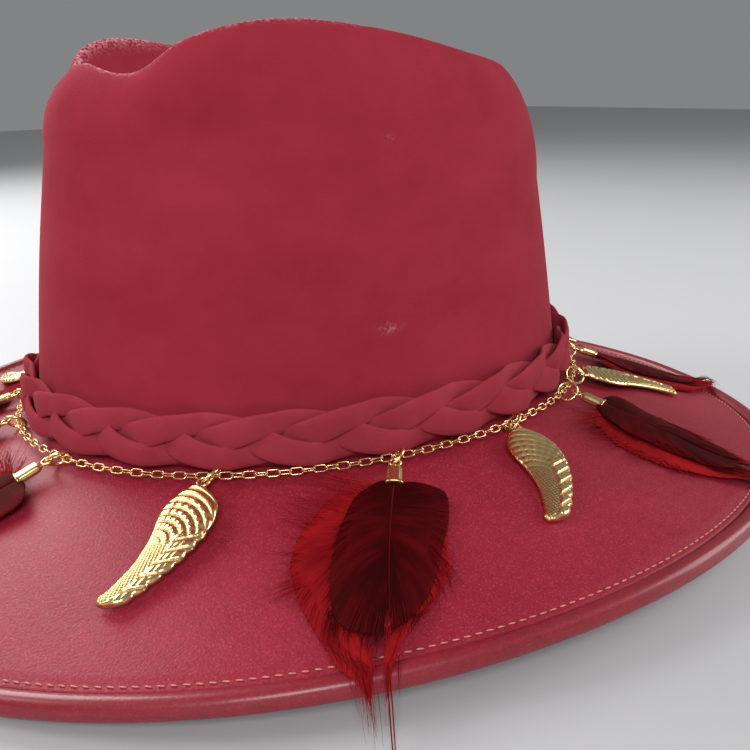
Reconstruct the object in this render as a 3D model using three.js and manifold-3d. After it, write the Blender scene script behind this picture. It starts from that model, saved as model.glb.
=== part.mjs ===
// Wide-brim fedora: a hollow suede crown with a teardrop dent, a leather brim with a rolled edge,
// a braided band, and a fine chain carrying wings and feather tassels in turn.
// Millimetres, +Z up. The front of the hat faces -Y and the hat rests on Z = 0.
import * as THREE from "three";
import { mergeVertices } from "three/addons/utils/BufferGeometryUtils.js";
import Module from "manifold-3d";

// ---- driving sizes ----------------------------------------------------------------------------

const AROUND = 52; // steps round the hat
const GAP = 0.3; // clearance between neighbouring pieces
const OVAL = { halfWidth: 84, halfLength: 100 }; // oval that every offset is measured out from
const BRIM = { width: 90, thickness: 3, topZ: 33.2, fall: 30.3, sideLift: 11.8, restHalfAngle: 14 };
const ROLL = { width: 5.7, height: 6, proud: 1.1 };
const CROWN = { wall: 2.5, foot: 5.3, taper: 0.108, curve: 0.00027, dentFloor: 90, creaseReach: 0.6 };
const CROWN_ROWS = { wall: 4, shoulder: 4, dent: 6 };
const PINCH = { fromFront: 40, height: 92, depth: 4, spread: 20, rise: 24 };

// Ridge round the dent, by angle from the front: height over the brim, set-in from the oval,
// and the height of the rounded shoulder under it.
const RIDGE = [
  { angle: 0, height: 119.5, inset: 22, shoulder: 24 },
  { angle: 25, height: 116, inset: 19, shoulder: 24 },
  { angle: 42, height: 125.5, inset: 16, shoulder: 26 },
  { angle: 60, height: 130, inset: 15, shoulder: 30 },
  { angle: 80, height: 127.5, inset: 15, shoulder: 32 },
  { angle: 110, height: 120, inset: 17, shoulder: 38 },
  { angle: 145, height: 116, inset: 21, shoulder: 42 },
  { angle: 180, height: 115, inset: 24, shoulder: 42 },
];

const BRAID = { strands: 3, turns: 8, fromWall: 3.65, height: 9.4, sway: 5.8, weave: 2.3, steps: 80 };
const STRAND = { halfHeight: 3, halfDepth: 0.95, sides: 6 };
const CHAIN = { offset: 12.6, radius: 1, lift: 3.5, sides: 8, steps: 72 };
const RING = { radius: 3.6, wire: 0.45, lean: 42, shift: 1.7, steps: 10, sides: 6 };
const EYE = { outer: 2, inner: 1.35, thickness: 0.7, neck: 3.4, steps: 12 };
const CRIMP = { start: 2.9, length: 7.6, width: 4.4, flare: 5.4, thickness: 3 };
const WING = { length: 48, thickness: 2, tipLift: 1.5 };
const FEATHER = { start: 10.8, ride: 0.5, edge: 0.5 };

// Wing outline, by station along its length: leading edge and scalloped trailing edge.
const WING_OUTLINE = [
  { station: 2.4, leading: -1.5, trailing: 3 },
  { station: 6, leading: -3.5, trailing: 9 },
  { station: 12, leading: -5, trailing: 12 },
  { station: 18, leading: -4, trailing: 12.8 },
  { station: 22, leading: -2.4, trailing: 12.2 },
  { station: 26, leading: -1.2, trailing: 12.6 },
  { station: 31, leading: -0.3, trailing: 10.8 },
  { station: 35, leading: 0, trailing: 10.6 },
  { station: 40, leading: -0.4, trailing: 8.2 },
  { station: 44, leading: -0.9, trailing: 7 },
  { station: 48, leading: -2.2, trailing: 3.6 },
];

// Outer form of a feather, by share of its length: width either side of the quill, thickness.
const FEATHER_OUTLINE = [
  { share: 0, right: -1.5, left: 1.5, thickness: 1.2 },
  { share: 0.09, right: -7, left: 8, thickness: 2.6 },
  { share: 0.22, right: -14, left: 14, thickness: 4 },
  { share: 0.38, right: -20, left: 15.5, thickness: 5 },
  { share: 0.55, right: -20, left: 14, thickness: 5 },
  { share: 0.72, right: -14, left: 9, thickness: 4 },
  { share: 0.87, right: -7, left: 4, thickness: 2.6 },
  { share: 1, right: -1, left: 1, thickness: 1 },
];

// Charms in order round the hat: angle of the jump ring (0 is the wearer's left, -90 the front)
// and the swing of the charm away from straight out.
const CHARMS = [
  { kind: "feather", angle: -118, swing: -14, length: 60 },
  { kind: "wing", angle: -101, swing: -28 },
  { kind: "feather", angle: -76, swing: -21, length: 60 },
  { kind: "wing", angle: -45, swing: -24 },
  { kind: "feather", angle: -15, swing: -27, length: 68 },
  { kind: "wing", angle: 10, swing: -40 },
  { kind: "feather", angle: 31, swing: -4, length: 60 },
  { kind: "wing", angle: 42, swing: 38 },
  { kind: "feather", angle: 63, swing: 16, length: 60 },
  { kind: "wing", angle: 89, swing: 8 },
  { kind: "feather", angle: 112, swing: -2, length: 60 },
  { kind: "wing", angle: 136, swing: -8 },
  { kind: "feather", angle: 159, swing: -10, length: 60 },
  { kind: "wing", angle: -178, swing: -18 },
  { kind: "feather", angle: -157, swing: -24, length: 60 },
  { kind: "wing", angle: -134, swing: -34 },
];

const LOOKS = {
  crown_suede: { color: 0x96303e, roughness: 0.95 },
  brim_leather: { color: 0x9c2c44, roughness: 0.5 },
  edge_leather: { color: 0xa6324c, roughness: 0.4 },
  braid_suede: { color: 0x98303f, roughness: 0.9 },
  gold: { color: 0xd9b25c, roughness: 0.25, metalness: 1 },
  feather_red: { color: 0x8a0f1c, roughness: 0.8 },
};

// ---- helpers ----------------------------------------------------------------------------------

const wasm = await Module();
wasm.setup();

const rad = THREE.MathUtils.degToRad;

/** Value of one column of a table at an angle, as a smooth curve through its rows. */
function smoothColumn(table, key, at) {
  const last = table.length - 1;
  const upper = table.findIndex((row) => row.angle >= at);
  const span = Math.min(last - 1, Math.max(0, upper - 1));
  const a = table[span];
  const b = table[span + 1];
  const slope = (k) => {
    if (k === 0 || k === last) return 0;
    return (table[k + 1][key] - table[k - 1][key]) / (table[k + 1].angle - table[k - 1].angle);
  };
  const width = b.angle - a.angle;
  const t = (at - a.angle) / width;
  const rise = t * t * (3 - 2 * t);
  const leave = t * (1 - t) * (1 - t) * width * slope(span);
  const arrive = t * t * (1 - t) * width * slope(span + 1);
  return a[key] * (1 - rise) + b[key] * rise + leave - arrive;
}

/** Point at an angle, set out from the oval by an offset. */
function oval(theta, offset) {
  const nx = OVAL.halfLength * Math.cos(theta);
  const ny = OVAL.halfWidth * Math.sin(theta);
  const size = Math.hypot(nx, ny);
  const x = OVAL.halfWidth * Math.cos(theta) + (offset * nx) / size;
  const y = OVAL.halfLength * Math.sin(theta) + (offset * ny) / size;
  return { x, y, outward: Math.atan2(ny, nx) };
}

/** Share of the side lift at an angle: 0 over the front and back rests, 1 at the sides. */
function sideShare(theta) {
  const flat = Math.sin(rad(BRIM.restHalfAngle)) ** 2;
  return Math.max(0, (Math.cos(theta) ** 2 - flat) / (1 - flat));
}

/** Offset of the crown's wall at a height over the brim. */
function wallOffset(z) {
  return CROWN.foot - CROWN.taper * z - CROWN.curve * z * z;
}

/** Height of the brim's upper face. */
function brimTop(theta, offset) {
  const fall = BRIM.fall - BRIM.sideLift * sideShare(theta);
  return BRIM.topZ - (fall * Math.max(0, offset)) / BRIM.width;
}

/** Angle and offset on the oval of a plan point outside the crown. */
function ovalCoordinates(x, y) {
  const { halfWidth: a, halfLength: b } = OVAL;
  let theta = Math.atan2(y * a, x * b);
  for (let step = 0; step < 8; step += 1) {
    const s = Math.sin(theta);
    const c = Math.cos(theta);
    const f = (b * b - a * a) * s * c + x * a * s - y * b * c;
    const df = (b * b - a * a) * (c * c - s * s) + x * a * c + y * b * s;
    theta -= f / df;
  }
  const foot = oval(theta, 0);
  return { theta, offset: Math.hypot(x - foot.x, y - foot.y) };
}

/** Height of the brim's upper face under a plan point. */
function groundUnder(x, y) {
  const { theta, offset } = ovalCoordinates(x, y);
  return brimTop(theta, Math.min(offset, BRIM.width));
}

/** Geometry from points and triangles. */
function geometryFrom(points, triangles) {
  const geometry = new THREE.BufferGeometry();
  const flat = points.flatMap((p) => [p.x, p.y, p.z]);
  geometry.setAttribute("position", new THREE.Float32BufferAttribute(flat, 3));
  geometry.setIndex(triangles);
  return geometry;
}

/** Turns every face round when the enclosed volume comes out negative. */
function facingOut(geometry) {
  const p = geometry.attributes.position;
  const index = geometry.index.array;
  const corners = [new THREE.Vector3(), new THREE.Vector3(), new THREE.Vector3()];
  let volume = 0;
  for (let i = 0; i < index.length; i += 3) {
    corners.forEach((corner, k) => corner.fromBufferAttribute(p, index[i + k]));
    volume += corners[0].dot(corners[1].clone().cross(corners[2]));
  }
  if (volume < 0) {
    for (let i = 0; i < index.length; i += 3) {
      [index[i], index[i + 1]] = [index[i + 1], index[i]];
    }
  }
  return geometry;
}

/** Closed body through a row of outlines; a loop joins the last outline to the first. */
function loft(outlines, loop) {
  const sides = outlines[0].length;
  const count = outlines.length;
  const triangles = [];
  const spans = loop ? count : count - 1;
  for (let i = 0; i < spans; i += 1) {
    for (let j = 0; j < sides; j += 1) {
      const a = i * sides + j;
      const b = i * sides + ((j + 1) % sides);
      const c = ((i + 1) % count) * sides + j;
      const d = ((i + 1) % count) * sides + ((j + 1) % sides);
      triangles.push(a, b, d, a, d, c);
    }
  }
  if (!loop) {
    const end = (count - 1) * sides;
    for (let j = 1; j < sides - 1; j += 1) {
      triangles.push(0, j + 1, j);
      triangles.push(end, end + j, end + j + 1);
    }
  }
  return facingOut(geometryFrom(outlines.flat(), triangles));
}

/** Angles round the hat, the same on the left and on the right. */
function turns(steps) {
  return Array.from({ length: steps }, (_, i) => rad(-90 + (360 * i) / steps));
}

/** Solid for joining, from a three.js geometry. */
function toSolid(geometry) {
  const bare = geometry.clone();
  bare.deleteAttribute("normal");
  bare.deleteAttribute("uv");
  const welded = mergeVertices(bare, 1e-5);
  const mesh = new wasm.Mesh({
    numProp: 3,
    vertProperties: new Float32Array(welded.attributes.position.array),
    triVerts: new Uint32Array(welded.index.array),
  });
  return new wasm.Manifold(mesh);
}

/** One geometry from two that overlap. */
function joined(first, second) {
  const mesh = toSolid(first).add(toSolid(second)).getMesh();
  const geometry = new THREE.BufferGeometry();
  geometry.setAttribute("position", new THREE.Float32BufferAttribute(mesh.vertProperties, 3));
  geometry.setIndex(Array.from(mesh.triVerts));
  return geometry;
}

const hat = new THREE.Group();
hat.name = "fedora";

const materials = Object.fromEntries(
  Object.entries(LOOKS).map(([name, look]) => [name, new THREE.MeshStandardMaterial({ name, ...look })]),
);

function addPiece(name, geometry, slot) {
  geometry.computeVertexNormals();
  const mesh = new THREE.Mesh(geometry, materials[slot]);
  mesh.name = name;
  hat.add(mesh);
}

// ---- crown ------------------------------------------------------------------------------------

/** Foot of the crown, over the oval's level, clear of the brim where the brim is highest. */
const footZ = brimTop(0, CROWN.foot - CROWN.wall) + GAP - BRIM.topZ;

/** Outer face of the crown at an angle, row by row from the foot over the ridge to the crease. */
function crownColumn(theta) {
  const turned = Math.abs(THREE.MathUtils.radToDeg(theta) + 90);
  const front = turned > 180 ? 360 - turned : turned;
  const top = smoothColumn(RIDGE, "height", front);
  const inset = smoothColumn(RIDGE, "inset", front);
  const shoulder = smoothColumn(RIDGE, "shoulder", front);
  const lean = wallOffset(top - shoulder);
  const sweep = rad(70);
  const column = [];
  const wallPoint = (offset, z) => {
    const along = ((front - PINCH.fromFront) / PINCH.spread) ** 2;
    const up = ((z - PINCH.height) / PINCH.rise) ** 2;
    const p = oval(theta, offset - PINCH.depth * Math.exp(-along - up));
    column.push(new THREE.Vector3(p.x, p.y, BRIM.topZ + z));
  };
  for (let k = 0; k <= CROWN_ROWS.wall; k += 1) {
    const z = footZ + ((top - shoulder - footZ) * k) / CROWN_ROWS.wall;
    wallPoint(wallOffset(z), z);
  }
  for (let k = 1; k <= CROWN_ROWS.shoulder; k += 1) {
    const a = (sweep * k) / CROWN_ROWS.shoulder;
    const inward = (1 - Math.cos(a)) / (1 - Math.cos(sweep));
    const z = top - shoulder + (shoulder * Math.sin(a)) / Math.sin(sweep);
    wallPoint(lean - (inset + lean) * inward, z);
  }
  const ridge = column[column.length - 1];
  for (let k = 1; k <= CROWN_ROWS.dent; k += 1) {
    const q = k / CROWN_ROWS.dent;
    const x = k === CROWN_ROWS.dent ? 0 : ridge.x * (1 - q);
    const y = ridge.y * (1 - q * (1 - CROWN.creaseReach));
    const sink = (ridge.z - BRIM.topZ - CROWN.dentFloor) * (1 - (1 - q) ** 2);
    column.push(new THREE.Vector3(x, y, ridge.z - sink));
  }
  return column;
}

/** Hollow body with a wall of even thickness under an open skin, closed along its foot. */
function shellUnder(points, triangles, wall, footZ) {
  const skin = mergeVertices(geometryFrom(points, triangles), 1e-4);
  skin.computeVertexNormals();
  const position = skin.attributes.position;
  const normal = skin.attributes.normal;
  const count = position.count;
  const outer = [];
  const inner = [];
  for (let i = 0; i < count; i += 1) {
    const p = new THREE.Vector3().fromBufferAttribute(position, i);
    const n = new THREE.Vector3().fromBufferAttribute(normal, i);
    if (Math.abs(p.z - footZ) < 1e-3) n.setZ(0).normalize();
    outer.push(p);
    inner.push(p.clone().addScaledVector(n, -wall));
  }
  const faces = Array.from(skin.index.array);
  const edges = new Set();
  const body = [...faces];
  for (let i = 0; i < faces.length; i += 3) {
    const [a, b, c] = faces.slice(i, i + 3);
    body.push(a + count, c + count, b + count);
    [[a, b], [b, c], [c, a]].forEach(([from, to]) => edges.add(`${from} ${to}`));
  }
  edges.forEach((edge) => {
    const [from, to] = edge.split(" ").map(Number);
    if (edges.has(`${to} ${from}`)) return;
    body.push(to, from, from + count, to, from + count, to + count);
  });
  return facingOut(geometryFrom([...outer, ...inner], body));
}

function buildCrown() {
  const columns = turns(AROUND).map(crownColumn);
  const rows = columns[0].length;
  const triangles = [];
  for (let i = 0; i < AROUND; i += 1) {
    for (let j = 0; j < rows - 1; j += 1) {
      const a = i * rows + j;
      const b = ((i + 1) % AROUND) * rows + j;
      triangles.push(a, b, b + 1, a, b + 1, a + 1);
    }
  }
  return shellUnder(columns.flat(), triangles, CROWN.wall, BRIM.topZ + footZ);
}

addPiece("crown", buildCrown(), "crown_suede");

// ---- brim and rolled edge ---------------------------------------------------------------------

const brimEdge = BRIM.width - ROLL.width - GAP;

function brimOutline(theta) {
  const stations = [CROWN.foot - CROWN.wall, CROWN.foot + CROWN.wall, brimEdge / 2, brimEdge];
  const top = stations.map((offset) => ({ offset, z: brimTop(theta, offset) }));
  const under = [...top].reverse().map(({ offset, z }) => ({ offset, z: z - BRIM.thickness }));
  return [...top, ...under].map(({ offset, z }) => {
    const p = oval(theta, offset);
    return new THREE.Vector3(p.x, p.y, z);
  });
}

/** Section of the rolled edge: flat below, rounded outside and on top. */
const ROLL_SECTION = [
  { out: 0.1, up: 0 },
  { out: 0.75, up: 0 },
  { out: 0.96, up: 0.2 },
  { out: 1, up: 0.5 },
  { out: 0.88, up: 0.84 },
  { out: 0.55, up: 1 },
  { out: 0.18, up: 0.9 },
  { out: 0, up: 0.65 },
];

function rollBase(theta) {
  const rest = brimTop(rad(-90), brimEdge);
  return brimTop(theta, brimEdge) - rest;
}

function rollOutline(theta) {
  return ROLL_SECTION.map(({ out, up }) => {
    const p = oval(theta, brimEdge + GAP + out * ROLL.width);
    return new THREE.Vector3(p.x, p.y, rollBase(theta) + up * ROLL.height);
  });
}

addPiece("brim", loft(turns(AROUND).map(brimOutline), true), "brim_leather");
addPiece("brim_edge_roll", loft(turns(AROUND).map(rollOutline), true), "edge_leather");

// ---- braided band -----------------------------------------------------------------------------

function strandOutline(theta, phase) {
  const t = BRAID.turns * theta + phase;
  const height = BRAID.height + BRAID.sway * Math.sin(t);
  const offset = wallOffset(height) + BRAID.fromWall + BRAID.weave * Math.sin(2 * t);
  return Array.from({ length: STRAND.sides }, (_, k) => {
    const a = (2 * Math.PI * k) / STRAND.sides;
    const p = oval(theta, offset + STRAND.halfDepth * Math.sin(a));
    return new THREE.Vector3(p.x, p.y, BRIM.topZ + height + STRAND.halfHeight * Math.cos(a));
  });
}

for (let k = 0; k < BRAID.strands; k += 1) {
  const phase = (2 * Math.PI * k) / BRAID.strands;
  const outlines = turns(BRAID.steps).map((theta) => strandOutline(theta, phase));
  addPiece(`braid_strand_${k + 1}`, loft(outlines, true), "braid_suede");
}

// ---- chain ------------------------------------------------------------------------------------

function chainCentre(theta) {
  const p = oval(theta, CHAIN.offset);
  return new THREE.Vector3(p.x, p.y, brimTop(theta, CHAIN.offset) + CHAIN.lift);
}

/** Round tube along the chain's route, with its two ends meeting at the clasp behind the hat. */
function buildChain() {
  const clasp = 0.1;
  const route = Array.from({ length: CHAIN.steps + 1 }, (_, i) => {
    const turn = clasp + ((360 - 2 * clasp) * i) / CHAIN.steps;
    return chainCentre(rad(90 + turn));
  });
  const section = new THREE.Shape();
  section.absarc(0, 0, CHAIN.radius, 0, 2 * Math.PI, false);
  return new THREE.ExtrudeGeometry(section, {
    steps: CHAIN.steps,
    curveSegments: CHAIN.sides,
    extrudePath: new THREE.CatmullRomCurve3(route),
  });
}

addPiece("chain", buildChain(), "gold");

// ---- charms -----------------------------------------------------------------------------------

/** Jump ring round the chain, leaning over towards the brim. */
function buildRing(centre, heading) {
  const along = new THREE.Vector3(Math.cos(heading), Math.sin(heading), 0);
  const across = new THREE.Vector3(-Math.sin(heading), Math.cos(heading), 0);
  const lean = rad(RING.lean);
  const up = across.multiplyScalar(Math.sin(lean)).add(new THREE.Vector3(0, 0, Math.cos(lean)));
  const axis = along.clone().cross(up);
  const outlines = Array.from({ length: RING.steps }, (_, i) => {
    const a = (2 * Math.PI * i) / RING.steps;
    const spoke = along.clone().multiplyScalar(Math.cos(a)).addScaledVector(up, Math.sin(a));
    return Array.from({ length: RING.sides }, (__, k) => {
      const b = (2 * Math.PI * k) / RING.sides;
      const reach = RING.radius + RING.wire * Math.cos(b);
      return centre.clone().addScaledVector(spoke, reach).addScaledVector(axis, RING.wire * Math.sin(b));
    });
  });
  return loft(outlines, true);
}

/** Frame lying along the brim from the ring outwards: X along, Y to the left, Z off the brim. */
function layFrame(origin, heading, length, lift) {
  const plan = (s, w) => {
    const x = origin.x + s * Math.cos(heading) - w * Math.sin(heading);
    const y = origin.y + s * Math.sin(heading) + w * Math.cos(heading);
    return new THREE.Vector3(x, y, groundUnder(x, y));
  };
  const end = plan(length, 0);
  end.z += lift;
  const along = end.sub(origin).normalize();
  const side = plan(length / 2, 8).sub(plan(length / 2, -8));
  side.addScaledVector(along, -side.dot(along)).normalize();
  const off = along.clone().cross(side);
  return new THREE.Matrix4().makeBasis(along, side, off).setPosition(origin);
}

/** Flat body cut from an outline, centred on its plane. */
function plate(shape, thickness, segments) {
  const options = { depth: thickness, bevelEnabled: false, curveSegments: segments };
  return new THREE.ExtrudeGeometry(shape, options).translate(0, 0, -thickness / 2);
}

/** Eye for the jump ring, with a neck into the charm. */
function buildEye() {
  const shape = new THREE.Shape();
  const half = rad(35);
  shape.absarc(0, 0, EYE.outer, half, 2 * Math.PI - half, false);
  shape.lineTo(EYE.neck, -EYE.outer * Math.sin(half));
  shape.lineTo(EYE.neck, EYE.outer * Math.sin(half));
  const hole = new THREE.Path();
  hole.absarc(0, 0, EYE.inner, 0, 2 * Math.PI, true);
  shape.holes.push(hole);
  return plate(shape, EYE.thickness, EYE.steps / 2);
}

function buildWing(frame) {
  const shape = new THREE.Shape();
  shape.moveTo(WING_OUTLINE[0].station, WING_OUTLINE[0].leading);
  WING_OUTLINE.slice(1).forEach((row) => shape.lineTo(row.station, row.leading));
  [...WING_OUTLINE].reverse().forEach((row) => shape.lineTo(row.station, row.trailing));
  const body = plate(shape, WING.thickness, 1);
  return joined(body, buildEye()).applyMatrix4(frame);
}

function buildCrimp(frame) {
  const end = CRIMP.start + CRIMP.length;
  const shape = new THREE.Shape();
  shape.moveTo(CRIMP.start, -CRIMP.width / 2);
  shape.lineTo(end - 1, -CRIMP.width / 2);
  shape.lineTo(end, -CRIMP.flare / 2);
  shape.lineTo(end, CRIMP.flare / 2);
  shape.lineTo(end - 1, CRIMP.width / 2);
  shape.lineTo(CRIMP.start, CRIMP.width / 2);
  const barrel = plate(shape, CRIMP.thickness, 1);
  return joined(barrel, buildEye()).applyMatrix4(frame);
}

/** Height at which a feather lies: over the brim, and over the rolled edge near the rim. */
function rideUnder(x, y) {
  const { theta, offset } = ovalCoordinates(x, y);
  const near = THREE.MathUtils.smoothstep(offset, brimEdge - 16, brimEdge - 1);
  return brimTop(theta, Math.min(offset, brimEdge)) + FEATHER.ride + near * (ROLL.proud + 0.2);
}

function buildFeather(origin, heading, length) {
  const outlines = FEATHER_OUTLINE.map(({ share, right, left, thickness }) => {
    const s = FEATHER.start + share * length;
    const quill = Math.max(0, 1 - share / 0.22);
    const at = (w, height) => {
      const x = origin.x + s * Math.cos(heading) - w * Math.sin(heading);
      const y = origin.y + s * Math.sin(heading) + w * Math.cos(heading);
      return new THREE.Vector3(x, y, rideUnder(x, y) + height + quill * (CHAIN.lift - 1.4));
    };
    return [
      at(right, FEATHER.edge),
      at(right / 2, 0),
      at(0, 0),
      at(left / 2, 0),
      at(left, FEATHER.edge),
      at(left / 2, thickness * 0.8),
      at(0, thickness),
      at(right / 2, thickness * 0.8),
    ];
  });
  return loft(outlines, false);
}

const made = { wing: 0, feather: 0 };
for (const charm of CHARMS) {
  const { outward } = oval(rad(charm.angle), CHAIN.offset);
  const heading = outward + rad(charm.swing);
  const along = new THREE.Vector3(Math.cos(heading), Math.sin(heading), 0);
  const shift = RING.shift * Math.cos(rad(charm.swing)) ** 3;
  const ringCentre = chainCentre(rad(charm.angle)).addScaledVector(along, shift);
  const eyeCentre = ringCentre.clone().addScaledVector(along, RING.radius);
  made[charm.kind] += 1;
  const number = made[charm.kind];
  addPiece(`${charm.kind}_ring_${number}`, buildRing(ringCentre, heading), "gold");
  if (charm.kind === "wing") {
    const frame = layFrame(eyeCentre, heading, WING.length, WING.tipLift);
    addPiece(`wing_${number}`, buildWing(frame), "gold");
  } else {
    const frame = layFrame(eyeCentre, heading, FEATHER.start + 12, CHAIN.lift - 0.3);
    addPiece(`crimp_${number}`, buildCrimp(frame), "gold");
    addPiece(`feather_${number}`, buildFeather(eyeCentre, heading, charm.length), "feather_red");
  }
}

export default hat;
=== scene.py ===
"""Looks of a wide-brim fedora with a braided band, a chain, gold wings and feather tassels.

Lengths are millimetres in the tables and while shapes are worked out, and become metres when a
mesh is made. The front of the hat faces -Y, +X is the wearer's left, and it rests on Z = 0.
"""

import logging
import math
from collections.abc import Sequence
from dataclasses import dataclass, field
from enum import Enum

import bmesh
import bpy
import numpy as np
from mathutils import Matrix, Vector


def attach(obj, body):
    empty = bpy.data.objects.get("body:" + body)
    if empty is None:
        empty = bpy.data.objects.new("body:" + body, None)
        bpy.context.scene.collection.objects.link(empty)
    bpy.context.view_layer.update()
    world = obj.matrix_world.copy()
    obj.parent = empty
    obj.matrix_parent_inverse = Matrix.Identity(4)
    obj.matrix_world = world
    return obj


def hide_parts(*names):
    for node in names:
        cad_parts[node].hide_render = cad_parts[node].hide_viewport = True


MM = 0.001
LOG = logging.getLogger("fedora")
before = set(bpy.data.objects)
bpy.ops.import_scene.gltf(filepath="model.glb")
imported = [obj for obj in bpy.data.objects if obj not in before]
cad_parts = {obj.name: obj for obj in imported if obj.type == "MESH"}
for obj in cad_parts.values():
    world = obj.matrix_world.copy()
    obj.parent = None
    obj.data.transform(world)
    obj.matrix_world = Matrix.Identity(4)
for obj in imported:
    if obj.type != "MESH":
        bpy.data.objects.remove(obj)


# ---- node trees -------------------------------------------------------------------------------


class Value:
    """A node's output, used in arithmetic that adds Math nodes."""

    def __init__(self, tree: "Tree", socket: bpy.types.NodeSocket) -> None:
        """Wraps a socket of a tree.

        Args:
            tree: the tree that the socket belongs to.
            socket: an output socket.
        """
        self.tree = tree
        self.socket = socket

    def _math(self, operation: str, first: "Value | float", second: "Value | float") -> "Value":
        """Adds one Math node.

        Args:
            operation: the node's operation.
            first: its first number.
            second: its second number.

        Returns:
            The node's result.
        """
        return self.tree.value("ShaderNodeMath", 0, {"operation": operation}, {0: first, 1: second})

    def __add__(self, other: "Value | float") -> "Value":
        """Sum."""
        return self._math("ADD", self, other)

    def __radd__(self, other: float) -> "Value":
        """Sum with a number on the left."""
        return self._math("ADD", other, self)

    def __sub__(self, other: "Value | float") -> "Value":
        """Difference."""
        return self._math("SUBTRACT", self, other)

    def __rsub__(self, other: float) -> "Value":
        """Difference from a number on the left."""
        return self._math("SUBTRACT", other, self)

    def __mul__(self, other: "Value | float") -> "Value":
        """Product."""
        return self._math("MULTIPLY", self, other)

    def __rmul__(self, other: float) -> "Value":
        """Product with a number on the left."""
        return self._math("MULTIPLY", other, self)

    def __pow__(self, other: "Value | float") -> "Value":
        """Power."""
        return self._math("POWER", self, other)

    def least(self, other: "Value | float") -> "Value":
        """The smaller of two."""
        return self._math("MINIMUM", self, other)

    def most(self, other: "Value | float") -> "Value":
        """The larger of two."""
        return self._math("MAXIMUM", self, other)


class Tree:
    """A node tree being built, for a material or for geometry."""

    def __init__(self, tree: bpy.types.NodeTree) -> None:
        """Starts on an empty tree.

        Args:
            tree: the tree, whose default nodes are removed.
        """
        self.tree = tree
        tree.nodes.clear()

    def node(
        self, kind: str, settings: dict[str, object] | None = None, inputs: dict | None = None
    ) -> bpy.types.Node:
        """Adds a node.

        Args:
            kind: the node's type.
            settings: its properties; "stops" fills a colour ramp and "points" a float curve.
            inputs: values, links or Values by socket name, identifier or number.

        Returns:
            The new node.
        """
        node = self.tree.nodes.new(kind)
        for name, setting in (settings or {}).items():
            if name == "stops":
                self._fill_ramp(node, setting)
            elif name == "points":
                self._fill_curve(node, setting)
            else:
                setattr(node, name, setting)
        for key, given in (inputs or {}).items():
            socket = self._socket(node.inputs, key)
            if isinstance(given, Value):
                given = given.socket
            if isinstance(given, bpy.types.NodeSocket):
                self.tree.links.new(given, socket)
            else:
                socket.default_value = given
        return node

    @staticmethod
    def _fill_ramp(node: bpy.types.Node, stops: Sequence[tuple[float, tuple]]) -> None:
        """Sets the stops of a colour ramp.

        Args:
            node: the ramp.
            stops: place and colour of each stop.
        """
        elements = node.color_ramp.elements
        while len(elements) < len(stops):
            elements.new(0.5)
        for element, (place, colour) in zip(elements, stops):
            element.position = place
            element.color = (*colour, 1.0)

    @staticmethod
    def _fill_curve(node: bpy.types.Node, points: Sequence[tuple[float, float]]) -> None:
        """Sets the points of a float curve.

        Args:
            node: the float curve.
            points: across and up of each point, from 0 to 1.
        """
        curve = node.mapping.curves[0]
        while len(curve.points) < len(points):
            curve.points.new(0.5, 0.5)
        for point, place in zip(curve.points, points):
            point.location = place
        node.mapping.update()

    @staticmethod
    def _socket(sockets: bpy.types.bpy_prop_collection, key: str | int) -> bpy.types.NodeSocket:
        """Finds a socket.

        Args:
            sockets: a node's inputs or outputs.
            key: its name, identifier or number.

        Returns:
            The socket.
        """
        if isinstance(key, int):
            return sockets[key]
        for socket in sockets:
            if socket.identifier == key:
                return socket
        return next(socket for socket in sockets if socket.name == key and socket.enabled)

    def value(
        self,
        kind: str,
        output: str | int,
        settings: dict[str, object] | None = None,
        inputs: dict | None = None,
    ) -> Value:
        """Adds a node and wraps one of its outputs.

        Args:
            kind: the node's type.
            output: name, identifier or number of the output.
            settings: as for node.
            inputs: as for node.

        Returns:
            The output.
        """
        return Value(self, self._socket(self.node(kind, settings, inputs).outputs, output))


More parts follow.
